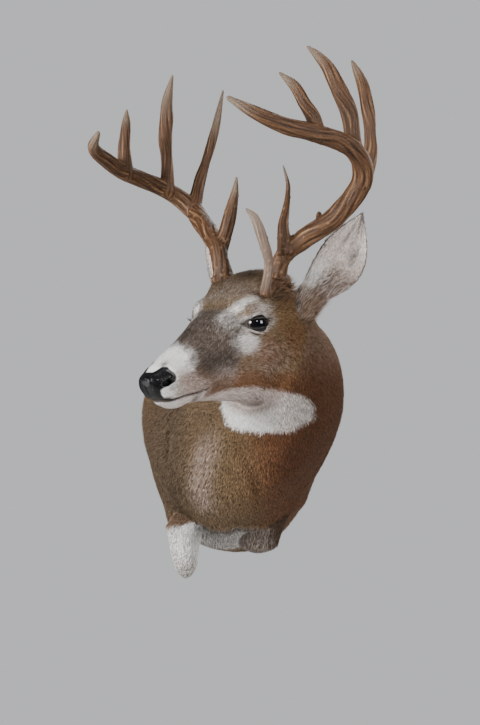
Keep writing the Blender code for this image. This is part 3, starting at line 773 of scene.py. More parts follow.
def head_markings(head):
    """White, dark, rufous and grey of places on the head."""
    both = both_sides(head)
    ahead, up = both[..., 0], both[..., 2]
    fuzz = 0.35 * wobble(head, 2.1, 3) + 0.2 * wobble(head, 0.8, 5)
    edge = opening_place(both - np.array(EYE_PLACE))
    beside = ramp(both[..., 1], 2.2, 3.4)
    under_lip = ramp(mouth_offset(both), 0.05, -0.1) * ramp(ahead, 6.6, 7.4)
    chin = ramp(up - np.interp(ahead, *zip(*CHIN_LINE)), 0.45, -0.35) * ramp(ahead, 7.4, 6.6)
    chin = np.maximum(0.92 * under_lip, 0.74 * chin * ramp(ahead, -9.5, -7.5))
    band_edge = 8.8 + 0.5 * ramp(up, -4.5, -2.4) - 1.6 * ramp(up, -6.4, -8.4)
    band = ramp(ahead + 2.0 * fuzz - band_edge, -0.5, 2.6) ** 1.3
    band = band * (0.96 - 0.62 * ramp(up, -5.6, -8.0) * ramp(ahead, 13.8, 11.6))
    band = band * (1 - 0.24 * ramp(up, -6.6, -8.4))
    lip_pad = 0.38 * ramp(ahead, 5.6, 8.0) * ramp(up + 0.4 * fuzz, -6.8, -8.4)
    under_eye = np.exp(-(((ahead - 1.2) / 1.9) ** 2 + ((up + 2.75) / 1.45) ** 2) ** 1.3) * beside
    under_eye = under_eye * (0.95 + 0.3 * fuzz)
    ring = 0.54 * ramp(edge + 0.4 * fuzz, 2.5, 1.5) * beside * (1 - 0.5 * ramp(ahead, -1.6, -2.6))
    far, along = line_distance(both, BROW_BAND)
    brow = (0.42 + 0.28 * ramp(along, 0.1, 0.45) + 0.5 * fuzz) * bell(far / 0.95)
    brow = brow * ramp(along, 1.05, 0.7)
    above_lid = 0.72 * spot(both, (-1.0, 5.4, 1.9), (1.6, 1.4, 0.9))
    before_eye = 0.26 * spot(both, (3.4, 3.6, 0.2), (1.7, 1.8, 1.6))
    golden = (0.15 * spot(both, (0.0, 1.4, 4.6), (3.4, 4.0, 2.4))
              + 0.14 * spot(both, (-2.4, 5.8, -4.8), (4.4, 3.0, 3.2))
              + 0.24 * spot(both, (4.4, 4.0, -7.4), (3.0, 3.0, 1.2)))
    pale = most(band, lip_pad, chin, under_eye, ring, brow, above_lid, before_eye,
        golden * (1 + 1.2 * fuzz))
    furrow, _ = line_distance(both, TEAR_FURROW)
    lid = 0.95 * ramp(edge, 1.42, 1.16) * beside
    dark = most(
        np.minimum(peaks(both, *EYE_CORNERS), 1.0), peaks(both, *DARK_SPOTS), lid, black_lips(both),
        peaks(both, *UNEVEN_DARK_SPOTS) * (1 + fuzz), 0.95 * bell(furrow / 0.21) * beside,
        0.25 * ramp(up, 2.5, 4.5) * ramp(ahead, 1.0, -3.0), ramp(nostril_share(both), 0.1, 0.4))
    grey = ramp(ahead - 1.4 * ramp(up, 0.5, 3.0), 0.8, 3.2) * ramp(ahead, 12.6, 11.0)
    grey = most(grey * (0.95 - 0.55 * ramp(up, -5.5, -8.0)), 0.8 * brow, 0.7 * ring,
        0.1 * ramp(up, 2.0, 4.0))
    warm = most(peaks(both, *WARM_SPOTS), 0.75 * ramp(up, -5.2, -7.6) * ramp(ahead, 13.5, 10.5),
        0.45 * ring, 0.8 * above_lid, 0.3 * chin, 0.16 * ramp(up, 2.0, 4.0))
    return np.stack((pale, dark * (1 - 0.35 * pale * (dark < 0.6)), warm, grey), -1)


print("white at the chin:", head_markings(np.array([[12.0, 0.0, -11.4]])).round(2)[0])


# %% Markings of the body
def throat_patch(body):
    """1 on the white patch below the jaw, from places in centimetres."""
    aside, up = body[..., 0], body[..., 2]
    fuzz = 0.05 * wobble(body, 1.9, 2)
    round_edge = ((np.abs(aside - 6.2) / 7.3) ** 2.5 + (np.abs(up - 5.9) / 3.1) ** 2.5) ** 0.4
    left_edge = np.interp(up, (2.0, 3.5, 6.4), (1.5, 0.5, -0.5))
    patch = ramp(round_edge + fuzz, 1.04, 0.95) * ramp(aside - left_edge, -0.1, 0.15)
    return patch * ramp(body[..., 1], -25.0, -27.0)


def body_markings(body):
    """White, dark, rufous and grey of places on the neck and chest, painted shade and highlight among
    them.
    """
    aside, up = body[..., 0], body[..., 2]
    throat = throat_patch(body)
    under = ramp(up - hem_height(body), 0.0, -0.5) * ramp(body[..., 1], -10.0, -14.0)
    under = under * ramp(np.abs(aside - 0.5), 11.5, 9.5)
    # Pale hair along the neck's ridge, with a painted highlight on it: paler and warmer there.
    ridge_far, _ = line_distance(body, NECK_RIDGE)
    pale_lit_ridge = bell(ridge_far / 2.3) * ramp(up, 5.0, 0.0)
    high = ramp(up, 8.0, 16.0) * ramp(aside, 2.0, 8.0)
    patchy = 0.5 + 0.5 * wobble(body, 6.5, 1)
    # The throat patch turns pinker towards the far side, as its hair does, and greyer with painted
    # shade.
    far_share = ramp(aside, 5.0, 10.5)
    # Painted shadow just below the hair's hem.
    shadow_below_hem = bell((up - hem_height(body) + 0.7) / 0.45)
    # Painted shade along a fold of the neck.
    shaded_fold_distance, _ = line_distance(body, SIDE_FOLDS[1])
    pale = most(throat * (1 - 0.38 * far_share), 0.17 * pale_lit_ridge, 0.1 * high,
                under * (0.36 + 0.3 * patchy) * (1 - 0.7 * shadow_below_hem))
    # Darker neck hair all over, and painted shade that deepens towards the far (left) side and eases on
    # the lit ridge.
    shade = (0.2 + 0.26 * ramp(aside, 4.5, 11.0)) * (1 - throat) * (1 - pale_lit_ridge) * (1 - 0.5 * high)
    dark = most(shade, 0.3 * under * (1 - patchy), 0.75 * under * shadow_below_hem,
                peaks(body, (0.72, (2.2, -28.5, 7.5), (4.4, 3.0, 1.0)),  # painted shadow below the jaw
                      (0.2, (7.0, -18.0, 20.5), (3.5, 9.0, 3.0))),  # behind the far ear
                0.6 * under * spot(body, (6.0, -14.0, -15.0), (2.6, 8.0, 3.0)),
                0.42 * bell(shaded_fold_distance / 1.9), 0.55 * ramp(aside, -3.6, -8.0))
    warm = 0.1 + 0.9 * ramp(aside, 1.0, 9.0) * (1 - 0.4 * high) + 0.15 * ramp(aside, -8.0, -14.0)
    warm = np.maximum(warm, 0.5 * pale_lit_ridge)
    warm = warm * (1 - under) * (1 - throat) + 0.4 * throat * far_share
    grey = most(0.2 * ramp(aside, 3.0, -4.0) * ramp(body[..., 1], -14.0, -22.0), 0.8 * under,
        0.7 * throat * far_share)
    return np.stack((pale, dark, warm, grey), -1)


def hide_markings(points, t):
    """Markings anywhere on the hide: the head's, the body's, or a blend."""
    share = ramp(t, 12.15, 12.75)[..., None]
    on_neck = body_markings(points * 100)
    return head_markings(from_head(points)) * (1 - share) + on_neck * share


print("white at the throat:", body_markings(np.array([[6.2, -30.0, 5.9]])).round(2)[0])

# %% [markdown]
# ## Shader helpers
# A wire stands for a node's result, and adding or multiplying wires makes the maths nodes that
# work the answer out. Another helper gives a node's sockets their values or wires by name.


# %% Wires and nodes
class Wire:
    """The result of a node, for sums and products of results."""

    def __init__(self, socket):
        self.socket, self.tree = socket, socket.id_data

    def __add__(self, other):
        return maths("ADD", self, other)

    def __mul__(self, other):
        return maths("MULTIPLY", self, other)

    def __rsub__(self, other):
        return maths("SUBTRACT", other, self)


def set_socket(socket, value):
    """Give a socket a value, or join a wire to it."""
    if isinstance(value, Wire):
        value.tree.links.new(value.socket, socket)
    else:
        socket.default_value = value


def set_inputs(node, **values):
    """Give a node's inputs values or wires by name, with _ for a space."""
    for name, value in values.items():
        set_socket(node.inputs[name.replace("_", " ")], value)


def add_node(tree, kind, settings=(), **values):
    """A node with its own settings, then its inputs."""
    node = tree.nodes.new(kind)
    for name, value in dict(settings).items():
        setattr(node, name, value)
    set_inputs(node, **values)
    return node


def result(tree, kind, settings=(), **values):
    """The first output of a new node, as a wire."""
    return Wire(add_node(tree, kind, settings, **values).outputs[0])


def maths(operation, *values):
    """The result of a maths node."""
    tree = next(value.tree for value in values if isinstance(value, Wire))
    node = add_node(tree, "ShaderNodeMath", {"operation": operation})
    for socket, value in zip(node.inputs, values):
        set_socket(socket, value)
    return Wire(node.outputs[0])


print("wires ready")


# %% Colours and patterns
def mixed(share, first, second, blend="MIX"):
    """Two colours mixed by a share, the first of them a wire."""
    node = add_node(first.tree, "ShaderNodeMix", {"data_type": "RGBA", "blend_type": blend})
    sockets = {socket.identifier: socket for socket in [*node.inputs, *node.outputs]}
    for name, value in (("Factor_Float", share), ("A_Color", first), ("B_Color", second)):
        set_socket(sockets[name], value)
    return Wire(sockets["Result_Color"])


def colour_steps(place, *steps):
    """A colour ramp from (place, colour) steps, read at a wire."""
    node = add_node(place.tree, "ShaderNodeValToRGB", Fac=place)
    ends = node.color_ramp.elements
    while len(ends) < len(steps):
        ends.new(0.5)
    for end, (where, colour) in zip(ends, steps):
        end.position = where
        end.color = (*colour, 1.0)
    return Wire(node.outputs[0])


def from_to(value, low, high):
    """0 where a wire is at low, 1 where it is at high."""
    return result(value.tree, "ShaderNodeMapRange", Value=value, From_Min=low, From_Max=high)


def noise(where, scale, detail=3.0, roughness=0.5):
    """A noise texture's value, from -1 to 1 about."""
    value = result(where.tree, "ShaderNodeTexNoise", Vector=where, Scale=scale, Detail=detail,
        Roughness=roughness)
    return maths("MULTIPLY_ADD", value, 2.0, -1.0)


def stretched(where, scale):
    """A place scaled along each direction, which draws a pattern out."""
    return result(where.tree, "ShaderNodeMapping", Vector=where, Scale=scale)


def even_grey(value):
    """One value as a grey colour."""
    return result(value.tree, "ShaderNodeCombineColor", Red=value, Green=value, Blue=value)


def split(colour):
    """The three numbers of a colour."""
    node = add_node(colour.tree, "ShaderNodeSeparateColor", Color=colour)
    return [Wire(socket) for socket in node.outputs]


def attribute(tree, name):
    """An attribute's colour and alpha."""
    node = add_node(tree, "ShaderNodeAttribute", {"attribute_name": name})
    return Wire(node.outputs["Color"]), Wire(node.outputs["Alpha"])


print("colours and patterns ready")


# %% Materials and node trees
def new_material(name):
    """An empty material, its shader, and the place on the object as a wire."""
    material = bpy.data.materials.new(name)
    material.use_nodes = True
    place = add_node(material.node_tree, "ShaderNodeTexCoord").outputs["Object"]
    return material, material.node_tree.nodes["Principled BSDF"], Wire(place)


def bumped(height, strength, distance):
    """A surface direction from a height."""
    return result(height.tree, "ShaderNodeBump", Height=height, Strength=strength, Distance=distance)


def new_tree(name, kind, inputs, output):
    """A node tree, its named inputs (None for a mesh) and its last socket."""
    tree = bpy.data.node_groups.new(name, kind)
    for label, value in inputs.items():
        socket_kind = "Geometry" if value is None else "Float" if isinstance(value, float) else "Color"
        socket = tree.interface.new_socket(label, in_out="INPUT", socket_type="NodeSocket" + socket_kind)
        if value is not None:
            socket.default_value = value
    last_kind = "Color" if kind == "ShaderNodeTree" else "Geometry"
    tree.interface.new_socket(output, in_out="OUTPUT", socket_type="NodeSocket" + last_kind)
    given, last = tree.nodes.new("NodeGroupInput"), tree.nodes.new("NodeGroupOutput")
    return tree, [Wire(given.outputs[label]) for label in inputs], last.inputs[output]


print("shader helpers ready")

# %% [markdown]
# ## The colour of deer hair
# Each hair is banded: dark at the root, brown along most of its length, a tan band near the end
# and a dark tip. Together the bands make a fine speckle. This group paints along a lock from root
# to tip and lays the markings over it. The tint, a chance number for each lock, lets pale and dark
# hairs stand side by side.

# %% Coat colours
ROOT_BROWN, MID_BROWN, TAN_BAND, DARK_TIP = (
    (0.026, 0.017, 0.01), (0.085, 0.052, 0.026), (0.26, 0.176, 0.088), (0.054, 0.033, 0.018))
PINK_SKIN = (0.5, 0.36, 0.31, 1.0)
HALFWAY = 0.62  # the place along a lock whose colour stands for all of it


def coat_colour_group():
    """The colour of a lock from its markings, the place along it and its tint."""
    tree, (marks, grey, along, tint, pink), last = new_tree("coat colours", "ShaderNodeTree",
        {"Marks": (0, 0, 0, 1), "Grey": 0.0, "Along": 0.6, "Tint": 0.5, "Pink": 0.0}, "Color")
    pale, dark, warm = split(marks)
    shifted = along + (tint * 0.5 + -0.25)
    brown = colour_steps(shifted, (0.0, ROOT_BROWN), (0.35, MID_BROWN), (0.68, TAN_BAND),
        (0.86, TAN_BAND), (1.0, DARK_TIP))
    rufous = colour_steps(shifted, (0.0, (0.034, 0.014, 0.007)), (0.4, (0.145, 0.052, 0.018)),
        (0.75, (0.27, 0.112, 0.044)), (1.0, (0.075, 0.029, 0.012)))
    grizzled = colour_steps(along * 0.45 + tint * 0.55, (0.0, (0.014, 0.01, 0.009)),
        (0.45, (0.058, 0.043, 0.036)), (0.72, (0.19, 0.15, 0.128)), (1.0, (0.42, 0.36, 0.32)))
    dark_brown = colour_steps(tint, (0.0, (0.008, 0.006, 0.005)), (1.0, (0.035, 0.024, 0.018)))
    white = colour_steps(along, (0.0, (0.42, 0.37, 0.33)), (0.4, (0.78, 0.77, 0.76)),
        (1.0, (0.92, 0.92, 0.92)))
    white = mixed(maths("MAXIMUM", pink, warm * 0.75), white, PINK_SKIN)
    colour = mixed(grey, mixed(warm, brown, rufous), grizzled)
    uneven = (tint * 3.2 + -1.6) * (pale * (1.0 - pale))
    colour = mixed(from_to(pale + uneven, 0.02, 0.88), colour, white)
    colour = mixed(dark * 0.97, colour, dark_brown)
    set_socket(last, mixed(1.0, colour, even_grey(tint * 0.86 + 0.53), "MULTIPLY"))
    return tree


COAT_COLOURS = coat_colour_group()
print("coat colours:", [s.name for s in COAT_COLOURS.interface.items_tree])

# %% [markdown]
# ## Hide and hair materials
# The hide shows between the locks. Its shortest hair is bump: noise drawn out along a map that
# runs with the hair in centimetres. The nose is the same surface without hair: black, pebbled and
# moist. The locks are solid and need no bump.


# %% Hide and hair materials
def coat_wires(tree):
    """Inputs for the coat's colours, and where skin is bare."""
    marks, grey = attribute(tree, "marks")
    strand, bare = attribute(tree, "strand")
    along, tint, pink = split(strand)
    return {"Marks": marks, "Grey": grey, "Along": along, "Tint": tint, "Pink": pink}, bare


def coat_paint(tree, values):
    """The coat colours' group placed in a material."""
    return result(tree, "ShaderNodeGroup", {"node_tree": COAT_COLOURS}, **values)


def hide_material():
    """The skin: short hair, and the bare leather of nose and lids."""
    material, shader, place = new_material("hide_with_short_hair")
    tree = place.tree
    values, bare = coat_wires(tree)
    lie = result(tree, "ShaderNodeUVMap", {"uv_map": "lie"})
    streak = noise(stretched(lie, (2.2, 22.0, 1.0)), 1.0, 3.0, 0.6)
    speckle = noise(place, 900.0, 2.0, 0.7)
    tint = streak * 0.55 + (speckle * 0.4 + 0.5)
    values.update(Along=HALFWAY, Tint=maths("MINIMUM", maths("MAXIMUM", tint, 0.0), 1.0))
    leather = colour_steps(noise(place, 260.0) * 0.5 + 0.5, (0.3, (0.002, 0.002, 0.003)),
        (0.8, (0.007, 0.007, 0.008)))
    pebbles = result(tree, "ShaderNodeTexVoronoi", Scale=620.0, Vector=place)
    height = streak * (1.0 - bare) + pebbles * (bare * 0.9)
    set_inputs(shader, Base_Color=mixed(bare, coat_paint(tree, values), leather),
               Roughness=speckle * 0.05 + (bare * -0.6 + 0.86), Coat_Weight=bare * 0.16,
               Coat_Roughness=0.08, Specular_IOR_Level=0.1, Normal=bumped(height, 0.8, 0.0006))
    return material


def hair_material():
    """The locks of the coat."""
    material, shader, place = new_material("deer_hair")
    values, _ = coat_wires(place.tree)
    set_inputs(shader, Base_Color=coat_paint(place.tree, values), Specular_IOR_Level=0.3,
        Roughness=values["Tint"] * 0.2 + 0.55)
    return material


HIDE, HAIR = hide_material(), hair_material()
print("materials:", HIDE.name, HAIR.name)

# %% [markdown]
# ## The hide as one piece
# The skin, ears and stumps join in one mesh that stands for every node of flesh. Each point
# carries its markings, and a second map in centimetres runs with the lie of the hair.

# %% Markings of the ears and the stumps
def ear_places(shell):
    """Of each point of an ear: how far out (0 to 1), how far across, 1 on the inside."""
    rows, columns = shell.rings.shape[:2]
    share = np.repeat(ring_shares(shell.rings)[:, None], columns, 1)
    leaf = np.linspace(-1, 1, EAR_ARC)
    across = np.concatenate([leaf[::-1], leaf[1:-1]])
    inside = np.concatenate([np.zeros(EAR_ARC), np.ones(EAR_ARC - 2)])
    return share, np.tile(across, (rows, 1)), np.tile(inside, (rows, 1))


def ear_tuft(share, across, inside):
    """1 on the long white hair inside an ear near its root."""
    return spot(np.stack((share, across), -1), (0.34, -0.6), (0.14, 0.42)) * inside


def ear_pink(share, across, inside):
    """How much the bare pink skin shows through."""
    return 0.45 * inside * (1 - ear_tuft(share, across, inside))


def ear_markings(share, across, inside, points):
    """White inside, grizzled brown behind, with a dark rim and painted shade in the hollow."""
    fuzz = 0.3 * wobble(points * 100, 1.6, 4)
    rim = ramp(np.abs(across), 0.9, 1.0) * ramp(share, 0.3, 0.6)
    lower = ramp(share, 0.74, 0.42) * ramp(across, -0.35, 0.05)
    tuft = ear_tuft(share, across, inside)
    leaf = np.stack((share, across), -1)
    # Painted shade in the hollow of the cup, and deep in it near the root.
    hollow = spot(leaf, (0.65, 0.27), (0.08, 0.16)) * inside
    deep = spot(leaf, (0.4, 0.14), (0.12, 0.1)) * inside
    # The grey back hair that shows along the front margin, with painted shade on it.
    shaded_back_hair_strip = bell((share - 0.52) / 0.17) * ramp(-across, 0.55, 0.85) * inside
    root = ramp(share + 0.04 * fuzz, 0.25, 0.2)
    pale = np.maximum(inside * (0.94 + 0.1 * fuzz), 0.42 * ramp(share, 0.5, 0.2) * (1 - inside))
    pale = pale * (1 - 0.35 * rim) * (1 - 0.35 * shaded_back_hair_strip) * (1 - 0.14 * inside) * (1 - 0.52 * lower)
    pale = np.maximum(pale, tuft) * (1 - root * (1 - inside)) * (1 - 0.6 * root)
    dark = (1 - tuft) * most(0.4 * rim, 0.72 * hollow, 0.5 * deep, 0.3 * shaded_back_hair_strip, 0.34 * root,
        0.22 * lower * inside, 0.25 * (1 - inside) * ramp(share, 0.3, 0.9))
    grey = (0.75 * (1 - inside) + 0.2 * inside + 0.6 * shaded_back_hair_strip) * (1 - root)
    warm = most(0.25 * (1 - inside), 0.34 * root, inside * (1 - tuft) * np.maximum(0.3, 0.55 * lower))
    return np.stack((pale, dark, warm, grey), -1)


def leg_markings(points, side):
    """White on the inner face, brown on the outer; the left stump is darker."""
    body = points * 100
    middle = LEGS[side].top[0]
    inner = (body[..., 0] - middle) * (1 if side == "right" else -1)
    fuzz = 0.5 * wobble(body, 2.4, 6)
    low = ramp(body[..., 2] + 0.6 * fuzz, -15.5, -20.0)
    pale = ramp(inner + fuzz - 0.15 * (body[..., 1] + 20), -3.2, -1.6) * (0.95 - 0.4 * low)
    pale = pale * ramp(body[..., 2] + 0.5 * fuzz - 0.25 * inner, -11.6, -12.6)
    if side == "left":
        pale = 0.22 * pale
    dark = (0.2 if side == "right" else 0.6) * (1 - pale)
    return np.stack((pale, dark, 0.4 * (1 - pale), 0.35 + 0 * pale), -1)


print("ear and stump markings ready")

# %% Build the hide
HIDE_NODES = ("nose", "muzzle", "head", "lower_jaw", "neck", "shoulders", "leg_left", "leg_right",
              "ear_left", "ear_right")
hide_marks = hide_markings(hide.rings, np.repeat(HIDE_T[:, None], ROUND, 1))
hide_bare = bare_nose(from_head(hide.rings)) * (HIDE_T < 5)[:, None]
shells = [(hide, hide_marks, hide_bare, np.zeros(hide.rings.shape[:2]))]
for side, shell in ear_shells.items():
    share, across, inside = ear_places(shell)
    if side == "right":
        across = -across
    shells.append((shell, ear_markings(share, across, inside, shell.rings), 0 * share,
        ear_pink(share, across, inside)))
for side, shell in leg_shells.items():
    marks = leg_markings(shell.rings, side)
    shells.append((shell, marks, 0 * marks[..., 0], 0 * marks[..., 0]))


def build_hide():
    """The whole skin as one mesh, with its markings and both maps."""
    piece = mesh_piece("hide", *joined([shell_arrays(shell) for shell, *_ in shells]), HIDE)
    for name, place_of in (("OFBake", shell_uv), ("lie", lie_uv)):
        maps = [[place_of(shell, *corners) for corners in shell_corners(shell)] for shell, *_ in shells]
        give_uv(piece, name, np.concatenate([own[kind] for kind in (0, 1) for own in maps]))
    give_values(piece, "marks", np.concatenate([with_ends(marks) for _, marks, _, _ in shells]))
    strands = [np.stack((HALFWAY + 0 * bare, 0.5 + 0 * bare, pink, bare), -1)
               for _, _, bare, pink in shells]
    give_values(piece, "strand", np.concatenate([with_ends(strand) for strand in strands]))
    return piece


hide_piece = build_hide()
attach(hide_piece, "root")
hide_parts(*HIDE_NODES)
print("hide:", len(hide_piece.data.polygons), "faces")

# %% [markdown]
# ## The coat
# A lock is a small closed solid with five corners: its root under the skin, a left, a right and a
# raised middle corner where it is widest, and its tip. It lifts at its root and lies back at its
# tip, so locks overlap like tiles. Their length, width, lift and number are fields over each shell:
# short and fine on the face, coarse on the chest, and longest at the hem.

# %% Lie, length and growth of the hair
COAT_SEED = 11
HAIR_LENGTH = ((0, 0.3), (3, 0.42), (6, 0.55), (8, 0.6), (10, 0.78), (12, 0.88), (13.5, 0.98),
               (16, 1.08), (19, 1.15))  # section, centimetres
HAIR_WIDTH = ((0, 0.04), (6, 0.047), (9, 0.052), (12, 0.062), (14, 0.074), (19, 0.085))
HAIR_COVER = ((0, 1.34), (6, 1.6), (10, 1.7), (12.5, 1.52), (19, 1.48))
HAIR_LIFT = ((0, 9.0), (8, 12.0), (12, 17.0), (19, 19.0))  # degrees at the root
Growth = namedtuple("Growth", "length width cover lift flow")  # fields over a shell


def along_shell(rings):
    """Unit directions along a shell, from its first ring to its last."""
    return unit(np.gradient(rings, axis=0))


def turned(vectors, axes, angles):
    """Vectors turned about axes square to them."""
    return vectors * np.cos(angles)[..., None] + np.cross(axes, vectors) * np.sin(angles)[..., None]


def hide_growth():
    """How the coat grows on the hide."""
    t = np.repeat(HIDE_T[:, None], ROUND, 1)
    head, body = from_head(hide.rings), hide.rings * 100
    both = both_sides(head)
    length, width, cover, lift = (np.interp(t, *zip(*table)) for table in (
        HAIR_LENGTH, HAIR_WIDTH, HAIR_COVER, HAIR_LIFT))
    on_head_share = ramp(t, 12.8, 12.0)
    crown = spot(head, (-6.4, 0.0, 7.6), (1.6, 2.6, 1.6)) * on_head_share
    antler_foot = spot(both, (-5.2, 6.2, 5.0), (2.4, 2.0, 2.2)) * on_head_share
    ear_root = spot(both, (-9.6, 6.6, 2.6), (2.4, 2.0, 2.8))
    hem = bell((body[..., 2] - hem_height(body) - 0.45) / 0.55)
    hem = hem * ramp(body[..., 1], -12.0, -17.0) * ramp(np.abs(body[..., 0] - 0.5), 11.5, 9.5)
    length = length * (1 + 0.45 * crown + 1.9 * antler_foot + 0.6 * ear_root) + 0.7 * hem
    width = width * (1 + 0.25 * antler_foot)
    lift = lift + 16 * crown + 24 * antler_foot + 14 * ear_root + 9 * hem
    throat = throat_patch(body) * (t > 11.9)
    eye_edge = opening_place(both - np.array(EYE_PLACE))
    eye_near = ramp(eye_edge, 2.4, 1.1) * ramp(both[..., 1], 2.4, 3.4) * on_head_share
    length = length * (1 - 0.45 * throat) * (1 - 0.45 * eye_near)
    width = width * (1 - 0.2 * throat) * (1 - 0.2 * eye_near)
    bald = most(bare_nose(head) * (t < 5), ramp(nostril_share(both), 0.05, 0.2) * (t < 5),
        eye_near * ramp(eye_edge, 1.22, 1.1), ramp(t, 18.97, 18.99))
    cover = cover * (1 - bald) * (1 - 0.9 * black_lips(both) * on_head_share) * (bald < 0.5)
    down = (0.55 * ramp(t, 12.0, 15.0) + 1.6 * hem)[..., None] * -UP
    whorl = spot(both, (-3.4, 3.6, 4.6), (2.2, 2.0, 2.0))[..., None]
    outward = np.sign(head[..., 1:2]) * ASIDE * 0.8 - AHEAD * 0.2
    flow = along_shell(hide.rings) + down + whorl * outward * on_head_share[..., None]
    swirl = 0.24 * wobble(body, 7.0, 7) + 0.16 * wobble(body, 2.6, 8)
    swirl = swirl + 1.1 * antler_foot * wobble(body, 1.5, 9)
    return Growth(length, width, cover, lift, turned(flow, grid_normals(hide.rings), swirl))


def uneven_flow(shell, size, seed):
    """The lie of hair along a shell, turned a little this way and that."""
    swirl = 0.3 * wobble(shell.rings * 100, size, seed)
    return turned(along_shell(shell.rings), grid_normals(shell.rings), swirl)


def ear_growth(shell):
    """Short hair on an ear, and long white hair inside near its root."""
    share, across, inside = ear_places(shell)
    tuft = inside * ramp(share, 0.5, 0.24)
    length = 0.55 + 0.25 * (1 - inside) + 1.2 * tuft
    length = length * (1 - 0.35 * ramp(share, 0.7, 1.0))
    width = 0.055 + 0.02 * (1 - inside)
    cover = 1.3 + 0.4 * (1 - inside) + 0.9 * tuft
    lift = 10.0 + 24.0 * tuft + 10.0 * ramp(np.abs(across), 0.9, 1.0)
    return Growth(length, width, cover, lift, uneven_flow(shell, 3.0, 3))


def leg_growth(shell):
    """Close hair down a stump."""
    size = np.ones(shell.rings.shape[:2])
    return Growth(1.0 * size, 0.095 * size, 1.9 * size, 14.0 * size, uneven_flow(shell, 4.0, 5))


print("growth fields ready")

# %% [markdown]
# ## Sowing the locks
# Every cell of a shell gets its fair number of roots, with one more by chance. A fixed seed gives
# the same coat each time. A lock's patch in the unwrap lies at the place of its root.

# %% Sow and build locks
PATCH_SIZE = 0.003
LOCK_FACES = np.array(((0, 3, 2), (0, 1, 3), (4, 2, 3), (4, 3, 1), (0, 2, 1), (4, 1, 2)))
LOCK_UV = np.array(((0.0, -0.5), (-0.5, 0.0), (0.5, 0.0), (0.0, 0.0), (0.0, 0.5))) * PATCH_SIZE
LOCK_ALONG = np.array((0.0, 0.5, 0.5, 0.5, 1.0))


def bilinear(field, i, j, a, b):
    """A field of a shell read between the corners of cells i, j."""
    after = (j + 1) % field.shape[1]
    a, b = (share.reshape(share.shape + (1,) * (field.ndim - 2)) for share in (a, b))
    return ((field[i, j] * (1 - a) + field[i + 1, j] * a) * (1 - b)
            + (field[i, after] * (1 - a) + field[i + 1, after] * a) * b)


def sow(shell, growth, chance):
    """Roots of locks over a shell: all that is known of each."""
    rings = shell.rings
    across = np.roll(rings, -1, 1) - rings
    along = np.diff(rings, axis=0)
    area = np.linalg.norm(np.cross(across[:-1], along), axis=-1) * 1e4
    density = growth.cover / (growth.length * growth.width * 0.5)
    number = (area * density[:-1] + chance.random(area.shape)).astype(int)
    i, j = np.nonzero(number)
    i, j = (np.repeat(place, number[i, j]) for place in (i, j))
    a, b = chance.random(len(i)), chance.random(len(i))
    fields = {"place": rings, "normal": grid_normals(rings), **growth._asdict()}
    roots = {name: bilinear(field, i, j, a, b) for name, field in fields.items()}
    return {**roots, "uv": shell_uv(shell, i + a, j + b), "row": i + a, "column": j + b}


def lock_arrays(roots, chance):
    """The five corners of one lock for each root."""
    count = len(roots["place"])
    normal = unit(roots["normal"])
    flow = unit(roots["flow"] - normal * (roots["flow"] * normal).sum(1, keepdims=True))
    flow = turned(flow, normal, chance.normal(0.0, 0.17, count))
    side = np.cross(normal, flow)
    length = (roots["length"] * 0.01 * chance.uniform(0.75, 1.25, count))[:, None]
    width = (roots["width"] * 0.01 * chance.uniform(0.75, 1.3, count))[:, None]
    lift = np.radians(roots["lift"] * chance.uniform(0.55, 1.45, count))[:, None]
    rise = flow * np.cos(lift) + normal * np.sin(lift)
    lie = flow * np.cos(lift * 0.35) + normal * np.sin(lift * 0.35)
    root = roots["place"] - normal * 0.0003
    belly = root + rise * length * 0.42
    tip = belly + lie * length * 0.58 + side * width * chance.normal(0.0, 0.8, count)[:, None]
    return np.stack((root, belly - side * width * 0.5, belly + side * width * 0.5,
        belly + normal * width * 0.32, tip), 1)


def coat_piece(name, roots, marks, pink, chance):
    """One coat piece from its roots and markings."""
    points = lock_arrays(roots, chance)
    count = len(points)
    faces = (LOCK_FACES[None] + 5 * np.arange(count)[:, None, None]).reshape(-1, 3)
    piece = mesh_piece(name, points.reshape(-1, 3), [faces], HAIR)
    uv = roots["uv"][:, None, :] + LOCK_UV[None]
    give_uv(piece, "OFBake", uv[:, LOCK_FACES.ravel()].reshape(-1, 2))
    give_values(piece, "marks", np.repeat(marks, 5, axis=0))
    clumps = wobble(roots["place"] * 100, 1.1, 3) + wobble(roots["place"] * 100, 0.55, 6)
    tint = np.clip(0.5 + 0.12 * clumps + chance.normal(0.0, 0.24, count), 0, 1)
    strand = np.stack((np.tile(LOCK_ALONG, (count, 1)), np.repeat(tint[:, None], 5, 1),
        np.repeat(pink[:, None], 5, 1), np.zeros((count, 5))), -1)
    give_values(piece, "strand", strand.reshape(-1, 4))
    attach(piece, "root")


def part_of_roots(roots, chosen):
    """Only the chosen roots."""
    return {name: values[chosen] for name, values in roots.items()}


print("a lock:", len(LOCK_ALONG), "corners,", len(LOCK_FACES), "faces")

# %% [markdown]
# ## One piece for each region
# The coat comes in pieces of a moderate size: muzzle, brow, head, both sides of the neck and the
# chest, the ears and the stumps.

# %% The coat's pieces
MOST_LOCKS = 33000  # a region with more is shared between several pieces
coat_counts = {}


def grow(name, roots, marks, pink, chance):
    """One coat piece or more, none above the most locks."""
    count = len(roots["place"])
    parts = -(-count // MOST_LOCKS)
    order = np.argsort(roots["row"], kind="stable")
    for number, chosen in enumerate(np.array_split(order, parts), 1):
        label = f"coat_{name}" if parts == 1 else f"coat_{name}_{number}"
        coat_piece(label, part_of_roots(roots, chosen), marks[chosen], pink[chosen], chance)
        coat_counts[label] = len(chosen)


chance = np.random.default_rng(COAT_SEED)
hide_roots = sow(hide, hide_growth(), chance)
root_t = np.interp(hide_roots["row"], np.arange(len(HIDE_T)), HIDE_T)
scatter = hide_roots["place"] + chance.normal(0.0, 0.0011, (len(root_t), 3))
root_marks = hide_markings(scatter, root_t)
no_pink = np.zeros(len(root_t))
left_half = hide_roots["column"] < HALF_ROUND
whole = np.full(len(root_t), True)
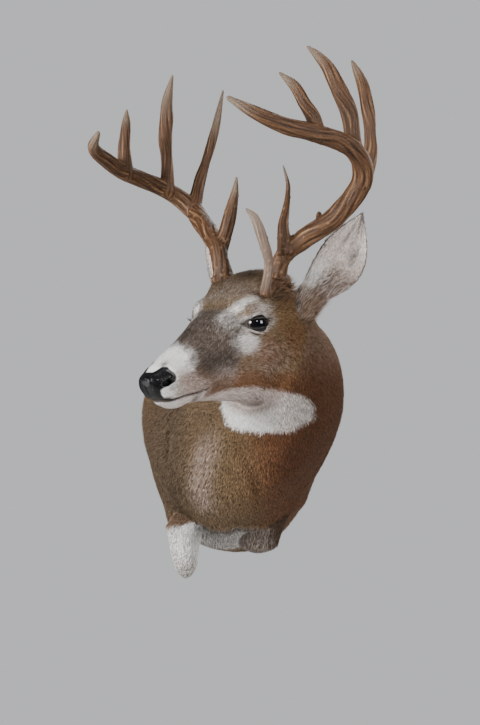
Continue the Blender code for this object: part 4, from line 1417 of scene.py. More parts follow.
# name, first and last section, and which half of the hide
HIDE_REGIONS = (("muzzle", 0, 6, whole), ("brow", 6, 9, whole), ("head", 9, 12.4, whole),
                ("neck_left", 12.4, 15, left_half), ("neck_right", 12.4, 15, ~left_half),
                ("chest_left", 15, 20, left_half), ("chest_right", 15, 20, ~left_half))
for name, first, last, half in HIDE_REGIONS:
    chosen = (root_t >= first) & (root_t < last) & half
    grow(name, part_of_roots(hide_roots, chosen), root_marks[chosen], no_pink[chosen], chance)
for side, shell in ear_shells.items():
    roots = sow(shell, ear_growth(shell), chance)
    (i, j), (a, b) = np.divmod((roots["row"], roots["column"]), 1)
    share, across, inside = (bilinear(field, i.astype(int), j.astype(int), a, b)
                             for field in ear_places(shell))
    grow(f"ear_{side}", roots, ear_markings(share, across, inside, roots["place"]),
        ear_pink(share, across, inside), chance)
for side, shell in leg_shells.items():
    roots = sow(shell, leg_growth(shell), chance)
    marks = leg_markings(roots["place"], side)
    grow(f"leg_{side}", roots, marks, 0 * marks[:, 0], chance)
print("locks:", sum(coat_counts.values()), coat_counts)

# %% [markdown]
# ## Antlers
# An antler is bone: a beam with tines, furrowed lengthwise, pearled near its foot and polished at
# its tips. Tubes along smooth paths give the form, a voxel remesh melts them into one skin, and
# smoothing fills the forks.

# %% Antler paths
# A point is centimetres ahead, aside and up from the eyes, and the radius there
ANTLER_PATHS = {
    "left": {
        "beam": ((-5.2, 4.9, 3.6, 1.45), (-5.3, 6.0, 9.2, 1.25), (-6.7, 9.0, 12.1, 1.45),
            (-8.9, 13.0, 15.2, 1.48), (-10.0, 16.8, 20.0, 1.5), (-5.9, 18.5, 23.7, 1.32),
            (2.1, 18.6, 24.9, 1.24), (7.3, 17.3, 25.5, 1.12), (11.4, 15.6, 26.9, 0.88),
            (13.4, 12.7, 28.9, 0.35)),
        "brow": ((-3.4, 5.8, 5.8, 0.7), (-1.5, 6.2, 4.4, 0.8), (-1.6, 6.8, 7.8, 0.66),
            (-1.0, 7.0, 9.8, 0.72), (0.0, 6.8, 12.3, 0.76), (0.8, 6.3, 14.7, 0.62),
            (2.0, 5.7, 15.9, 0.22)),
        "inner": ((-5.0, 7.0, 9.8, 1.3), (-5.1, 6.5, 13.8, 0.82), (-6.1, 6.0, 15.9, 0.62),
            (-7.2, 5.5, 18.2, 0.44), (-7.9, 5.0, 20.4, 0.34), (-7.4, 4.5, 23.1, 0.16)),
        "second": ((-10.2, 16.6, 19.6, 1.3), (-11.6, 17.0, 23.6, 1.05), (-11.9, 16.8, 26.8, 0.86),
            (-12.1, 16.3, 30.0, 0.98), (-12.3, 15.4, 33.4, 0.9), (-12.5, 14.2, 35.8, 0.7),
            (-12.6, 13.0, 37.8, 0.22)),
        "third": ((-6.2, 18.3, 23.6, 1.3), (-5.6, 18.4, 26.0, 1.12), (-5.2, 18.2, 28.8, 1.22),
            (-4.3, 17.4, 31.5, 1.16), (-3.5, 16.0, 34.8, 0.94), (-2.7, 14.8, 36.6, 0.66),
            (-1.9, 13.5, 38.0, 0.22)),
        "fourth": ((1.9, 18.5, 24.8, 1.15), (2.6, 18.2, 27.1, 1.0), (3.7, 17.6, 28.9, 0.86),
            (4.4, 16.6, 31.1, 0.76), (5.8, 15.0, 33.0, 0.2)),
        "bump": ((-8.0, 10.8, 13.6, 0.6), (-8.4, 10.4, 15.4, 0.5), (-8.6, 10.2, 16.0, 0.26)),
    },
    "right": {
        "beam": ((-5.2, 4.9, 3.8, 1.45), (-5.1, 6.0, 10.6, 1.25), (-6.6, 9.0, 13.6, 1.45),
            (-8.8, 13.0, 16.0, 1.48), (-10.3, 16.6, 18.6, 1.5), (-6.4, 18.4, 21.3, 1.32),
            (1.8, 18.7, 23.1, 1.24), (7.1, 17.4, 24.4, 1.12), (11.0, 15.8, 25.6, 0.88),
            (12.9, 12.7, 27.2, 0.35)),
        "brow": ((-5.4, 6.6, 10.2, 1.3), (-6.5, 6.2, 13.4, 1.08), (-6.8, 5.6, 15.7, 1.04),
            (-7.1, 5.2, 17.9, 0.86), (-7.1, 4.6, 20.0, 0.58), (-6.8, 4.0, 22.1, 0.18)),
        "second": ((-10.2, 16.2, 18.0, 1.3), (-11.5, 16.6, 21.2, 1.02), (-12.4, 16.6, 23.8, 0.9),
            (-13.0, 16.2, 26.1, 0.74), (-13.5, 15.4, 29.1, 0.76), (-13.8, 14.6, 32.1, 0.66),
            (-13.6, 13.0, 37.1, 0.18)),
        "third": ((-6.4, 18.2, 20.9, 1.25), (-6.4, 18.1, 24.2, 0.98), (-6.1, 18.0, 26.5, 0.92),
            (-5.4, 17.6, 29.1, 1.08), (-5.1, 17.0, 31.7, 1.06), (-4.3, 16.0, 34.6, 0.84),
            (-3.4, 14.0, 38.0, 0.2)),
        "fourth": ((1.9, 18.6, 23.0, 1.25), (2.7, 18.2, 26.2, 0.98), (3.1, 17.6, 28.1, 0.84),
            (3.6, 16.8, 30.1, 0.68), (4.4, 15.8, 32.0, 0.2)),
    },
}
BURR_PLACE = {"left": (-5.25, 5.45, 6.7), "right": (-5.25, -5.45, 6.9)}
PATH_STEPS = 12


def smooth_path(points, t):
    """Places t on a curve through points at 0, 1, 2 and so on."""
    padded = np.vstack([2 * points[0] - points[1], points, 2 * points[-1] - points[-2]])
    i = np.clip(t.astype(int), 0, len(points) - 2)
    u = (t - i)[:, None]
    p0, p1, p2, p3 = (padded[i + k] for k in range(4))
    return 0.5 * (2 * p1 + (p2 - p0) * u + (2 * p0 - 5 * p1 + 4 * p2 - p3) * u ** 2
                  + (3 * p1 - p0 - 3 * p2 + p3) * u ** 3)


def antler_path(side, rows):
    """Close-set middles of a path in metres, radii, directions along and across."""
    rows = np.array(rows)
    t = np.linspace(0, len(rows) - 1, (len(rows) - 1) * PATH_STEPS + 1)
    middles = smooth_path(on_head(rows[:, :3] * (1, SIDES[side], 1)), t)
    widths = smooth_rows(rows[:, 3:] * 0.01, t)[:, 0]
    along = unit(np.gradient(middles, axis=0))
    across = np.empty_like(along)
    last = np.cross(along[0], (0.3, 0.9, 0.1))
    for number, direction in enumerate(along):
        last = unit(last - direction * (last @ direction))
        across[number] = last
    return middles, widths, along, across


def tube(middles, widths, along, across, sides=20):
    """Points, quads and triangles of a closed tube with a rounded end."""
    angles = 2 * pi * np.arange(sides)[:, None] / sides
    ring = across[:, None] * np.cos(angles) + np.cross(along, across)[:, None] * np.sin(angles)
    rings = middles[:, None] + ring * widths[:, None, None]
    points = np.concatenate([rings.reshape(-1, 3), [middles[0]],
        [middles[-1] + along[-1] * widths[-1] * 0.9]])
    return points, *closed_faces(len(middles), sides)


print("antlers:", {side: len(paths) for side, paths in ANTLER_PATHS.items()}, "paths")

# %% The knobs of the burr
BURR_RING = 1.55  # radius of the ring of knobs at an antler's foot
BURR_KNOBS = 17


def burr_knobs(side, chance):
    """The ring of knobs at an antler's foot, as short fat tubes."""
    middle = on_head(BURR_PLACE[side])
    upward = unit(UP + ASIDE * 0.24 * SIDES[side])
    across = unit(np.cross(upward, AHEAD))
    other = np.cross(upward, across)
    parts = []
    for number in range(BURR_KNOBS):
        angle = 2 * pi * (number + chance.uniform(-0.25, 0.25)) / BURR_KNOBS
        out = across * cos(angle) + other * sin(angle)
        size = chance.uniform(0.26, 0.42) * 0.01
        start = middle + out * BURR_RING * 0.007 + upward * chance.uniform(-0.0022, 0.002)
        end = middle + out * BURR_RING * 0.01 + upward * chance.uniform(-0.0034, 0.0034)
        along = np.tile(unit(end - start), (5, 1))
        parts.append(tube(np.linspace(start, end, 5), np.full(5, size), along,
            np.tile(unit(np.cross(out, upward)), (5, 1)), 10))
    return parts


print("burr:", BURR_KNOBS, "knobs")

# %% Melt the tubes into one form
ANTLER_VOXEL = 0.00125


def melt(name, points, faces):
    """One closed skin round overlapping solids, as a plain mesh."""
    rough = mesh_piece(name, points, faces)
    remesh = rough.modifiers.new("melt", "REMESH")
    remesh.mode = "VOXEL"
    remesh.voxel_size = ANTLER_VOXEL
    mesh = plain_mesh(rough)
    bpy.data.objects.remove(rough)
    return add_object(name, mesh)


def read_points(piece, field):
    """The places (co) or directions (normal) of a mesh's points."""
    values = np.empty(len(piece.data.vertices) * 3, np.float32)
    piece.data.vertices.foreach_get(field, values)
    return values.reshape(-1, 3).astype(float)


def move_points(piece, points):
    """Set the places of a mesh's points."""
    piece.data.vertices.foreach_set("co", points.astype(np.float32).ravel())
    piece.data.update()


def smoothed(piece, rounds, strength=0.5):
    """Points drawn towards the middle of their neighbours."""
    points = read_points(piece, "co")
    edges = np.empty(len(piece.data.edges) * 2, np.int32)
    piece.data.edges.foreach_get("vertices", edges)
    start, end = edges.reshape(-1, 2).T
    number = np.bincount(edges, minlength=len(points))[:, None]
    for _ in range(rounds):
        total = np.stack([np.bincount(start, points[end, k], len(points))
                          + np.bincount(end, points[start, k], len(points)) for k in range(3)], -1)
        points = points + strength * (total / number - points)
    return points


print("voxels:", ANTLER_VOXEL * 1000, "mm")

# %% [markdown]
# ## Furrows and pearls
# Each point of the melted bone is matched to the nearest step of a path. Its place along and
# round that path gives the furrows: a few waves that drift and break along the beam. Pearls are
# small round bumps sown by chance, thickest near the foot.

# %% Places on an antler
FURROW_WAVES = ((5, 0.5, 0.0), (9, 0.8, 1.3), (16, 0.7, 2.9), (27, 0.4, 0.7))  # count, height, shift
FURROW_DEPTH = 0.055  # centimetres
PEARL_HEIGHT = 0.11
PEARL_TRIES = 900


def places_on(paths, points):
    """Of each point: its path, share, length, width (centimetres) and angle round it."""
    every = [np.concatenate(values) for values in zip(*paths)]
    tree = KDTree(len(every[0]))
    for number, middle in enumerate(every[0]):
        tree.insert(middle, number)
    tree.balance()
    nearest = np.array([tree.find(point)[1] for point in points])
    lengths = [np.linalg.norm(np.diff(path[0], axis=0), axis=1) for path in paths]
    length = np.concatenate([np.concatenate([[0], np.cumsum(steps)]) for steps in lengths]) * 100
    share = np.concatenate([np.linspace(0, 1, len(path[0])) for path in paths])
    owner = np.concatenate([np.full(len(path[0]), k) for k, path in enumerate(paths)])
    middles, widths, along, across = (values[nearest] for values in every)
    offset = points - middles
    angle = np.arctan2((offset * np.cross(along, across)).sum(1), (offset * across).sum(1))
    return owner[nearest], share[nearest], length[nearest], widths * 100, angle


def furrows(owner, length, angle):
    """The height of the furrowed surface, from -1 to 1 about."""
    drift = 0.55 * np.sin(length * 0.32 + owner) + 0.35 * np.sin(length * 0.71 + 2 * owner)
    furrow = np.zeros(len(angle))
    for waves, weight, phase in FURROW_WAVES:
        broken = 0.55 + 0.45 * np.sin(length * (0.4 + 0.07 * waves) + waves)
        furrow += weight * broken * np.sin(waves * (angle + drift * 0.5) + phase)
    return furrow / 1.7


def sow_pearls(points, foot, chance):
    """The height of the pearls, from 0 to 1."""
    places = points[chance.choice(len(points), PEARL_TRIES, replace=False)]
    near_foot = bell(np.linalg.norm(places - foot, axis=1) * 100 / 7.5)
    pearls = np.zeros(len(points))
    for place in places[chance.random(PEARL_TRIES) < near_foot]:
        size = chance.uniform(0.0011, 0.0021)
        pearls = np.maximum(pearls, np.exp(-((points - place) ** 2).sum(1) / size ** 2))
    return pearls


print("waves round the beam:", [row[0] for row in FURROW_WAVES])


# %% Build an antler
def build_antler(side, chance):
    """One antler: form, furrows and pearls, and the values for its material."""
    paths = [antler_path(side, rows) for rows in ANTLER_PATHS[side].values()]
    rough_form = joined([tube(*path) for path in paths] + burr_knobs(side, chance))
    piece = melt(f"antler_{side}", *rough_form)
    points = smoothed(piece, 7)
    move_points(piece, points)
    owner, share, length, width, angle = places_on(paths, points)
    foot = on_head(BURR_PLACE[side])
    furrow = furrows(owner, length, angle)
    tip = ramp(share, 0.62, 0.97) * np.where(owner == 0, ramp(share, 0.86, 0.98), 1.0)
    rough = (1 - 0.85 * tip) * np.clip(width, 0.3, 1.3)
    pearls = sow_pearls(points, foot, chance)
    lumps = wobble(points * 100, 3.4, 2) * 0.6 + wobble(points * 100, 1.5, 4) * 0.4
    move = (FURROW_DEPTH * furrow * rough + PEARL_HEIGHT * pearls + 0.035 * lumps * rough) * 0.01
    near_foot = bell(np.linalg.norm(points - foot, axis=1) * 100 / 5.5)
    weathered = (owner == 1) * (side == "left") * ramp(share, 0.12, 0.3)
    move_points(piece, points + read_points(piece, "normal") * move[:, None])
    piece.data.shade_smooth()
    give_values(piece, "form", np.stack((0.5 + 0.5 * np.clip(furrow, -1, 1), tip, near_foot,
                                         weathered), -1))
    give_values(piece, "grain", np.stack((length * 0.1, 0.5 + angle / (2 * pi), pearls,
                                          0 * pearls), -1))
    return piece


print("antler builder ready")

# %% [markdown]
# ## Bone
# Stain lies dark in the furrows and is rubbed off the ridges. It is darkest at the foot and pale
# at the tips, and the left brow tine is weathered.

# %% Bone and both antlers
def antler_material():
    """Bone: dark in the furrows, tan on the ridges, pale at the tips."""
    material, shader, place = new_material("antler_bone")
    form, bleach = attribute(place.tree, "form")
    furrow, tip, foot = split(form)
    length, round_it, pearl = split(attribute(place.tree, "grain")[0])
    turns = round_it * (2 * pi)
    circle = result(place.tree, "ShaderNodeCombineXYZ", X=maths("COSINE", turns) * 7.0,
        Y=maths("SINE", turns) * 7.0, Z=length * 7.0)
    streak = noise(circle, 2.4, 5.0, 0.66)
    height = furrow * 0.62 + (streak * 0.34 + (noise(place, 28.0, 3.0) * 0.16 + 0.18))
    colour = colour_steps(height, (0.16, (0.01, 0.005, 0.003)), (0.4, (0.046, 0.021, 0.01)),
        (0.62, (0.12, 0.06, 0.028)), (0.92, (0.34, 0.22, 0.125)))
    at_foot = colour_steps(height, (0.2, (0.014, 0.007, 0.004)), (0.8, (0.12, 0.058, 0.027)))
    at_tip = colour_steps(height, (0.2, (0.085, 0.06, 0.042)), (0.8, (0.3, 0.25, 0.195)))
    weathered = colour_steps(height, (0.15, (0.13, 0.09, 0.07)), (0.6, (0.33, 0.27, 0.235)),
        (0.95, (0.5, 0.45, 0.41)))
    for share, over in ((foot * 0.85, at_foot), (tip * 0.55, at_tip), (bleach * 0.34, weathered),
            (pearl * 0.35, (0.36, 0.22, 0.12, 1.0))):
        colour = mixed(share, colour, over)
    fleck = noise(place, 420.0, 2.0, 0.6)
    set_inputs(shader, Base_Color=colour, Roughness=streak * 0.08 + (tip * -0.1 + 0.48),
        Specular_IOR_Level=0.22, Normal=bumped(fleck * 0.3 + streak, 0.6, 0.0007))
    return material


BONE = antler_material()
antler_chance = np.random.default_rng(5)
for side in SIDES:
    antler = build_antler(side, antler_chance)
    antler.data.materials.append(BONE)
    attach(antler, "root")
    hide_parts(*[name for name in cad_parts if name.startswith(f"antler_{side}_")])
    print(antler.name, len(antler.data.polygons), "faces")

# %% [markdown]
# ## Glass eyes
# A taxidermist's eye is glass, painted from behind: a near-black iris, a long level pupil, and a
# clear front. The ball is a full one whose poles lie on the axis of sight, with a slight bulge for
# the cornea.

# %% The eyes' shape
EYE_RINGS, EYE_ROUND = 56, 72
CORNEA = 0.035  # how far the front bulges, centimetres


def eye_axes(sign):
    """Directions of an eye in the head: along its opening, and out of it."""
    length = np.array((cos(OPENING_TURN), -sign * sin(OPENING_TURN), 0.0))
    return length, np.array((sin(OPENING_TURN), sign * cos(OPENING_TURN), 0.0))


def eye_points(sign):
    """The ball's points in the head, and how far ahead and up of its axis each lies."""
    length, out = eye_axes(sign)
    polar = pi * (np.arange(EYE_RINGS) + 0.5) / EYE_RINGS
    turn = 2 * pi * np.arange(EYE_ROUND) / EYE_ROUND
    radius = EYE_RADIUS + CORNEA * np.exp(-(polar / 0.62) ** 4)
    flat = (np.sin(polar) * radius)[:, None, None]
    across = (np.cos(turn)[:, None] * length + np.sin(turn)[:, None] * UP)[None] * flat
    rings = eye_middle(sign) + across + (out * (np.cos(polar) * radius)[:, None])[:, None]
    place = np.stack((across @ length, across @ UP, 0 * across[..., 0], 0 * across[..., 0]), -1)
    return (rings, place) if sign < 0 else (rings[:, ::-1], place[:, ::-1])


print("eye:", EYE_RINGS * EYE_ROUND, "points")

# %% The eyes' glass
PUPIL = (0.92, 0.42)  # half length and half height, centimetres
IRIS = 1.22


def length_of(**parts):
    """The length of a vector given by its parts."""
    tree = parts["X"].tree
    vector = result(tree, "ShaderNodeCombineXYZ", **parts)
    node = add_node(tree, "ShaderNodeVectorMath", {"operation": "LENGTH"})
    set_socket(node.inputs[0], vector)
    return Wire(node.outputs["Value"])


def eye_glass():
    """Dark glass: pupil and iris painted by their place across the eye."""
    material, shader, place = new_material("eye_glass")
    level, upright, _ = split(attribute(place.tree, "sight")[0])
    reach = length_of(X=level, Y=upright)
    angle = maths("ARCTAN2", upright, level)
    spokes = noise(result(place.tree, "ShaderNodeCombineXYZ", X=angle * 7.0, Y=reach), 1.8, 3.0)
    iris = colour_steps(spokes, (0.3, (0.004, 0.003, 0.003)), (0.7, (0.018, 0.01, 0.006)))
    white = colour_steps(reach, (0.0, (0.016, 0.011, 0.009)), (0.5, (0.03, 0.024, 0.022)))
    colour = mixed(from_to(reach, IRIS, IRIS + 0.16), iris, white)
    pupil = length_of(X=level * (1 / PUPIL[0]), Y=upright * (1 / PUPIL[1]))
    colour = mixed(from_to(pupil, 1.06, 0.94), colour, (0.0015, 0.002, 0.004, 1.0))
    set_inputs(shader, Base_Color=colour, Roughness=0.05, IOR=1.36, Coat_Weight=0.1,
        Coat_Roughness=0.02)
    return material


GLASS = eye_glass()
for side, sign in SIDES.items():
    rings, place = eye_points(sign)
    points, quads, ends = shell_arrays(Shell(on_head(rings), None))
    eye = mesh_piece(f"glass_eye_{side}", points, [quads, ends], GLASS)
    give_values(eye, "sight", np.concatenate([place.reshape(-1, 4), np.zeros((2, 4))]))
    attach(eye, "root")
    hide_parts(f"eye_{side}")
    print(eye.name, len(eye.data.polygons), "faces")

# %% [markdown]
# ## Lid rims
# The edge of each lid is a moist roll of bare black skin that hugs the glass: a closed tube along
# the opening, thicker at its two corners.

# %% Lid rims
RIM_STEPS, RIM_SIDES = 120, 12


def opening_edge(angles, reach, sign, radius):
    """Places on a ball at angles round an eye's opening and some reach from it."""
    front, up, half_length, half_height = OPENING
    level, upright = np.cos(angles), np.sin(angles)
    level = np.sign(level) * np.abs(level) ** (2 / 2.3)
    upright = upright / np.where(upright > 0, 0.94, 1.06)
    along = level * half_length * reach + front
    above = upright * half_height * reach + up - OPENING_LEAN * level * half_length * reach
    length, out = eye_axes(sign)
    deep = np.sqrt(np.maximum(radius ** 2 - along ** 2 - above ** 2, 0.05))
    return eye_middle(sign) + along[:, None] * length + deep[:, None] * out + above[:, None] * UP


def build_rim(side, sign, material):
    """The bare edge of both lids as one closed loop of tube."""
    angles = 2 * pi * np.arange(RIM_STEPS) / RIM_STEPS
    middle = opening_edge(angles, 1.0, sign, EYE_RADIUS + 0.085)
    width = 0.095 + 0.035 * np.abs(np.cos(angles)) ** 6 + 0.006 * np.sin(angles * 17)
    along = unit(np.roll(middle, -1, 0) - np.roll(middle, 1, 0))
    out = unit(middle - eye_middle(sign))
    across = np.cross(along, out)
    turn = 2 * pi * np.arange(RIM_SIDES) / RIM_SIDES
    ring = out[:, None] * np.cos(turn)[:, None] + across[:, None] * np.sin(turn)[:, None]
    points = on_head(middle[:, None] + ring * width[:, None, None]).reshape(-1, 3)
    faces = closed_faces(RIM_STEPS + 1, RIM_SIDES)[0] % len(points)
    piece = mesh_piece(f"lid_rim_{side}", points, [faces], material)
    face_outwards(piece)
    return piece


def lid_skin():
    """Bare black skin, a little moist."""
    material, shader, place = new_material("bare_lid_skin")
    fine = noise(place, 900.0, 3.0)
    colour = colour_steps(fine, (0.3, (0.006, 0.005, 0.005)), (0.8, (0.03, 0.024, 0.022)))
    set_inputs(shader, Base_Color=colour, Roughness=fine * 0.2 + 0.34, Normal=bumped(fine, 0.5, 0.0003))
    return material


LID_SKIN = lid_skin()
for side, sign in SIDES.items():
    rim = build_rim(side, sign, LID_SKIN)
    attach(rim, "root")
    print(rim.name, len(rim.data.polygons), "faces")

# %% [markdown]
# ## Lashes
# Lashes stand along the upper lid. Geometry Nodes place one tapered hair on a row of points,
# turned along a direction that each point carries, with a chance length.

# %% Copies by Geometry Nodes
def copies(points, shape, way, material, scale=(1.0, 1.0, 1.0)):
    """A shape on each point, turned along a direction, as real faces."""
    tree = points.tree
    turn = result(tree, "FunctionNodeAlignRotationToVector", {"axis": "Z"}, Vector=way)
    placed = result(tree, "GeometryNodeInstanceOnPoints", Points=points, Instance=shape, Rotation=turn,
        Scale=scale)
    real = result(tree, "GeometryNodeRealizeInstances", Geometry=placed)
    return result(tree, "GeometryNodeSetMaterial", Geometry=real, Material=material)


def grown_by_nodes(name, points, edges, vectors, tree, values):
    """A plain mesh made by a Geometry Nodes tree from a row of points."""
    row = bpy.data.meshes.new(name + "_row")
    row.from_pydata([tuple(point) for point in points], edges, [])
    for label, field in vectors.items():
        row.attributes.new(label, "FLOAT_VECTOR", "POINT").data.foreach_set("vector",
            np.asarray(field, np.float32).ravel())
    holder = add_object(name, row)
    modifier = holder.modifiers.new("nodes", "NODES")
    modifier.node_group = tree
    for item in tree.interface.items_tree:
        if item.in_out == "INPUT" and item.name in values:
            modifier[item.identifier] = values[item.name]
    mesh = plain_mesh(holder)
    holder.modifiers.remove(modifier)
    holder.data = mesh
    mesh.name = name
    return holder


print("copies by nodes ready")

# %% Lashes
LASHES = 34
LASH_SIZES = {"Length": 0.0085, "Root radius": 0.0002}


def lash_tree(material):
    """A tapered hair on each point, turned along that point's way."""
    tree, (lid, length, radius), last = new_tree("lashes on a lid", "GeometryNodeTree",
        {"Lid": None, **LASH_SIZES}, "Lashes")
    hair = result(tree, "GeometryNodeMeshCone", Vertices=5, Side_Segments=3, Radius_Top=0.00003,
        Radius_Bottom=radius, Depth=length)
    way = add_node(tree, "GeometryNodeInputNamedAttribute", {"data_type": "FLOAT_VECTOR"}, Name="way")
    size = add_node(tree, "FunctionNodeRandomValue", {"data_type": "FLOAT"}, Seed=4)
    size.inputs[2].default_value = 0.65
    size.inputs[3].default_value = 1.15
    set_socket(last, copies(lid, hair, Wire(way.outputs["Attribute"]), material, Wire(size.outputs[1])))
    return tree


lash_nodes = lash_tree(LID_SKIN)
for side, sign in SIDES.items():
    angles = np.linspace(radians(18), radians(158), LASHES)
    roots = opening_edge(angles, 1.03, sign, EYE_RADIUS + 0.15)
    ends = opening_edge(angles, 1.06, sign, EYE_RADIUS + 0.15)
    way = unit(roots - eye_middle(sign)) + 0.15 * UP + (ends - roots) * 1.5
    lashes = grown_by_nodes(f"lashes_{side}", on_head(roots), [], {"way": on_head(way) - EYES},
        lash_nodes, LASH_SIZES)
    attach(lashes, "root")
    print(lashes.name, len(lashes.data.polygons), "faces")

# %% [markdown]
# ## The backboard
# A plywood board is cut to the form's outline, a little inside the hide's edge. Plies show round
# its edge as pale and dark bands, and its face has long grain. It is rings with eased corners.

# %% Board
BOARD_INSET = 0.93  # the board's outline, as a share of the hide's rear outline
BOARD_THICKNESS = 0.018
BOARD_EASE = 0.0018  # rounding of its corners
PLIES = 7
FACE_SHARES = (0.03, 0.3, 0.6, 0.85)  # rings across a face, as shares of the hide's outline


def rear_outline():
    """The outline of the form's last section, from the top round the left side."""
    middle, reach = outlines(np.array([float(LAST_SECTION)]))
    left, right = (middle + reach)[0], (middle - reach)[0]
    return np.concatenate([left, right[-2:0:-1]])[::4]


def board_rings():
    """Rings from the middle of the rear face, round the edge, to the front."""
    outline = rear_outline() * (1, 0, 1)
    centre = outline.mean(0)
    edge = outline * BOARD_INSET
    turn = np.linspace(0, pi / 2, 5)
    steps = [(share, 0.0, 0.0) for share in FACE_SHARES]
    steps += [(BOARD_INSET, BOARD_EASE * (1 - sin(a)), BOARD_EASE * (1 - cos(a))) for a in turn]
    steps += [(BOARD_INSET, BOARD_EASE * (1 - cos(a)), BOARD_THICKNESS - BOARD_EASE * (1 - sin(a)))
              for a in turn]
    steps += [(share, 0.0, BOARD_THICKNESS) for share in FACE_SHARES[::-1]]
    rings = []
    for share, drawn_in, depth in steps:
        ring = centre + (edge - centre) * share / BOARD_INSET
        rings.append(ring - unit(ring - centre) * drawn_in - (0, depth, 0))
    return np.array(rings)


def plywood():
    """Birch plywood: long grain on the faces, plies round the edge."""
    material, shader, place = new_material("birch_plywood")
    tree = place.tree
    bent = add_node(tree, "ShaderNodeVectorMath", {"operation": "ADD"})
    warp = add_node(tree, "ShaderNodeTexNoise", Vector=place, Scale=5.0)
    set_socket(bent.inputs[0], stretched(place, (60.0, 60.0, 5.0)))
    set_socket(bent.inputs[1], Wire(warp.outputs["Color"]))
    grain = noise(Wire(bent.outputs[0]), 1.4, 5.0, 0.65)
    pores = noise(stretched(place, (500.0, 500.0, 24.0)), 1.0, 3.0, 0.7)
    face = colour_steps(grain, (0.25, (0.36, 0.22, 0.11)), (0.5, (0.55, 0.38, 0.21)),
        (0.75, (0.66, 0.49, 0.3)))
    depth = Wire(add_node(tree, "ShaderNodeSeparateXYZ", Vector=place).outputs["Y"])
    plies = colour_steps(maths("FRACT", depth * (-PLIES / BOARD_THICKNESS / 2)),
        (0.0, (0.2, 0.11, 0.055)), (0.06, (0.58, 0.42, 0.25)), (0.46, (0.6, 0.44, 0.27)),
        (0.53, (0.16, 0.085, 0.04)), (0.6, (0.4, 0.25, 0.13)), (0.98, (0.38, 0.24, 0.12)))
    colour = mixed(attribute(tree, "edge")[0], face, plies)
    colour = mixed(0.8, colour, even_grey(pores * 0.5 + 0.75), "MULTIPLY")
    set_inputs(shader, Base_Color=colour, Roughness=pores * 0.2 + 0.5,
               Normal=bumped(grain + pores, 0.4, 0.0004))
    return material


rings = board_rings()
points, quads, ends = shell_arrays(Shell(rings, None))
board = mesh_piece("plywood_board", points, [quads, ends], plywood())
on_edge = np.zeros(rings.shape[:2])
on_edge[7:11] = 1
give_values(board, "edge", np.concatenate([on_edge.ravel(), [0, 0]]))
face_outwards(board)
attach(board, "root")
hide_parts("backboard")
print("board:", np.ptp(rings.reshape(-1, 3), axis=0).round(3))

# %% [markdown]
# ## Staples
# Wire staples hold the hide's edge all the way round. Geometry Nodes space one crown of wire
# evenly along a line and turn each copy with it.

# %% Staples by Geometry Nodes
STAPLE_SIZES = {"Spacing": 0.016, "Crown": 0.01, "Wire": 0.00045}
STAPLE_REACH = 0.962  # their line, as a share of the hide's rear outline
STAPLE_LIFT = 0.0009  # how deep their line lies in the hide's rear


def steel():
    """Zinc-plated wire: pale, a little dull and scuffed."""
    material, shader, place = new_material("zinc_steel")
    scuff = noise(place, 300.0, 4.0, 0.6)
    colour = colour_steps(scuff, (0.3, (0.42, 0.42, 0.43)), (0.7, (0.62, 0.62, 0.63)))
    set_inputs(shader, Base_Color=colour, Roughness=scuff * 0.3 + 0.22, Metallic=1.0)
    return material


def staple_tree(material):
    """A wire crown on points set evenly along a line, turned along it."""
    tree, (edge, spacing, crown, wire), last = new_tree("staples along an edge", "GeometryNodeTree",
        {"Edge": None, **STAPLE_SIZES}, "Staples")
    line = result(tree, "GeometryNodeMeshToCurve", Mesh=edge)
    even = result(tree, "GeometryNodeResampleCurve", {"mode": "LENGTH"}, Curve=line, Length=spacing)
    bar = result(tree, "GeometryNodeMeshCylinder", Vertices=8, Depth=crown, Radius=wire)
    set_socket(last, copies(even, bar, result(tree, "GeometryNodeInputTangent"), material))
    return tree


rear = rear_outline()
staple_line = rear * (STAPLE_REACH, 0, STAPLE_REACH) + (0, rear[:, 1].mean() + STAPLE_LIFT, 0)
loop = [(k, (k + 1) % len(rear)) for k in range(len(rear))]
staples = grown_by_nodes("hide_staples", staple_line, loop, {}, staple_tree(steel()), STAPLE_SIZES)
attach(staples, "root")
print("staples:", len(staples.data.polygons), "faces")

# %% [markdown]
# ## Camera, light and floor
# The camera stands two metres off, level with the throat. A soft key from the left, a fill from
# the right and weaker lights round them show the coat's form without hard shadows. The world is as
# pale as a studio wall to the camera, but lights the piece far less.

# %% Camera
VIEW_AZIMUTH = radians(9.0)
EYES_IN_VIEW = (-0.0207, 2.0, 0.0546)  # the eyes from the camera: right, away and up, metres
right = np.array((cos(VIEW_AZIMUTH), sin(VIEW_AZIMUTH), 0.0))
away = np.array((-sin(VIEW_AZIMUTH), cos(VIEW_AZIMUTH), 0.0))
camera = add_object("camera", bpy.data.cameras.new("camera"))
camera.location = EYES - right * EYES_IN_VIEW[0] - away * EYES_IN_VIEW[1] - UP * EYES_IN_VIEW[2]
camera.rotation_euler = (pi / 2, 0.0, VIEW_AZIMUTH)
camera.data.lens = 69.52
camera.data.sensor_width = 36.0
bpy.context.scene.camera = camera
print("camera at", [round(value, 3) for value in camera.location])

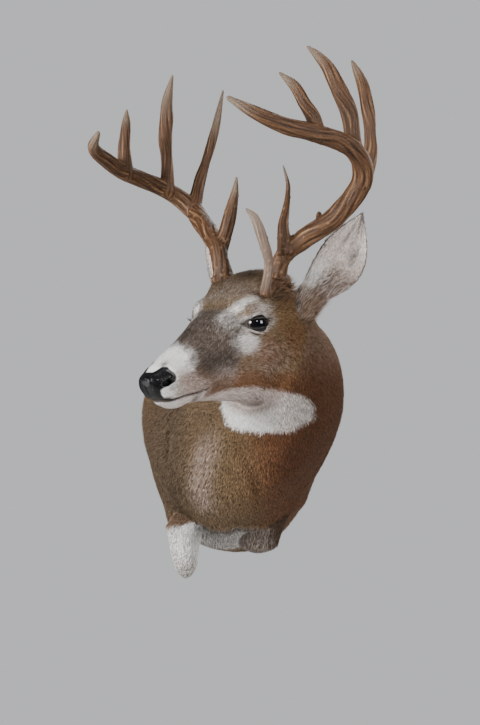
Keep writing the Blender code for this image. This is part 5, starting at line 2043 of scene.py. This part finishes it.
# %% Lights
# name, place, target, size, power and colour
LIGHTS = (
    ("key", (-1.4, -1.86, 0.62), (0.0, -0.25, 0.05), 0.6, 96.0, (1.0, 0.985, 0.965)),
    ("side", (1.96, -1.08, 0.66), (0.0, -0.25, 0.05), 0.8, 46.0, (1.0, 0.97, 0.94)),
    ("bounce", (-1.89, -1.09, -0.7), (0.0, -0.25, 0.05), 1.4, 40.0, (1.0, 0.98, 0.96)),
    ("front", (0.83, -2.18, 1.08), (0.0, -0.25, 0.1), 0.35, 12.0, (1.0, 1.0, 1.0)),
    ("top", (0.2, -0.4, 2.2), (0.0, -0.25, 0.2), 1.2, 10.0, (1.0, 1.0, 1.0)),
    ("back", (0.6, 1.6, 1.2), (0.0, -0.1, 0.0), 1.4, 26.0, (1.0, 1.0, 1.0)))
for name, place, target, size, power, colour in LIGHTS:
    light = bpy.data.lights.new(name, "AREA")
    light.shape = "SQUARE"
    light.size = size
    light.energy = power
    light.color = colour
    holder = add_object(name, light)
    holder.location = place
    holder.rotation_euler = (Vector(target) - Vector(place)).to_track_quat("-Z", "Y").to_euler()
print("lights:", len(LIGHTS))

# %% Studio wall and floor
SEEN_BRIGHTNESS, LIT_BRIGHTNESS = 0.75, 0.14  # of the pale wall: as seen, and as a light
FLOOR_HALF, FLOOR_HEIGHT = 3.0, -1.35
world = bpy.data.worlds.new("pale_studio")
world.use_nodes = True
seen = Wire(add_node(world.node_tree, "ShaderNodeLightPath").outputs["Is Camera Ray"])
set_inputs(world.node_tree.nodes["Background"], Color=(0.8, 0.81, 0.83, 1.0),
    Strength=seen * (SEEN_BRIGHTNESS - LIT_BRIGHTNESS) + LIT_BRIGHTNESS)
bpy.context.scene.world = world
floor_material, floor_shader, _ = new_material("pale_floor")
set_inputs(floor_shader, Base_Color=(0.72, 0.71, 0.69, 1.0), Roughness=0.9)
corners = np.array(((-1, -1, 0), (1, -1, 0), (1, 1, 0), (-1, 1, 0))) * FLOOR_HALF
floor = mesh_piece("floor", corners + (0, 0, FLOOR_HEIGHT), [np.array(((0, 1, 2, 3),))], floor_material)
print("floor at", FLOOR_HEIGHT, "m")
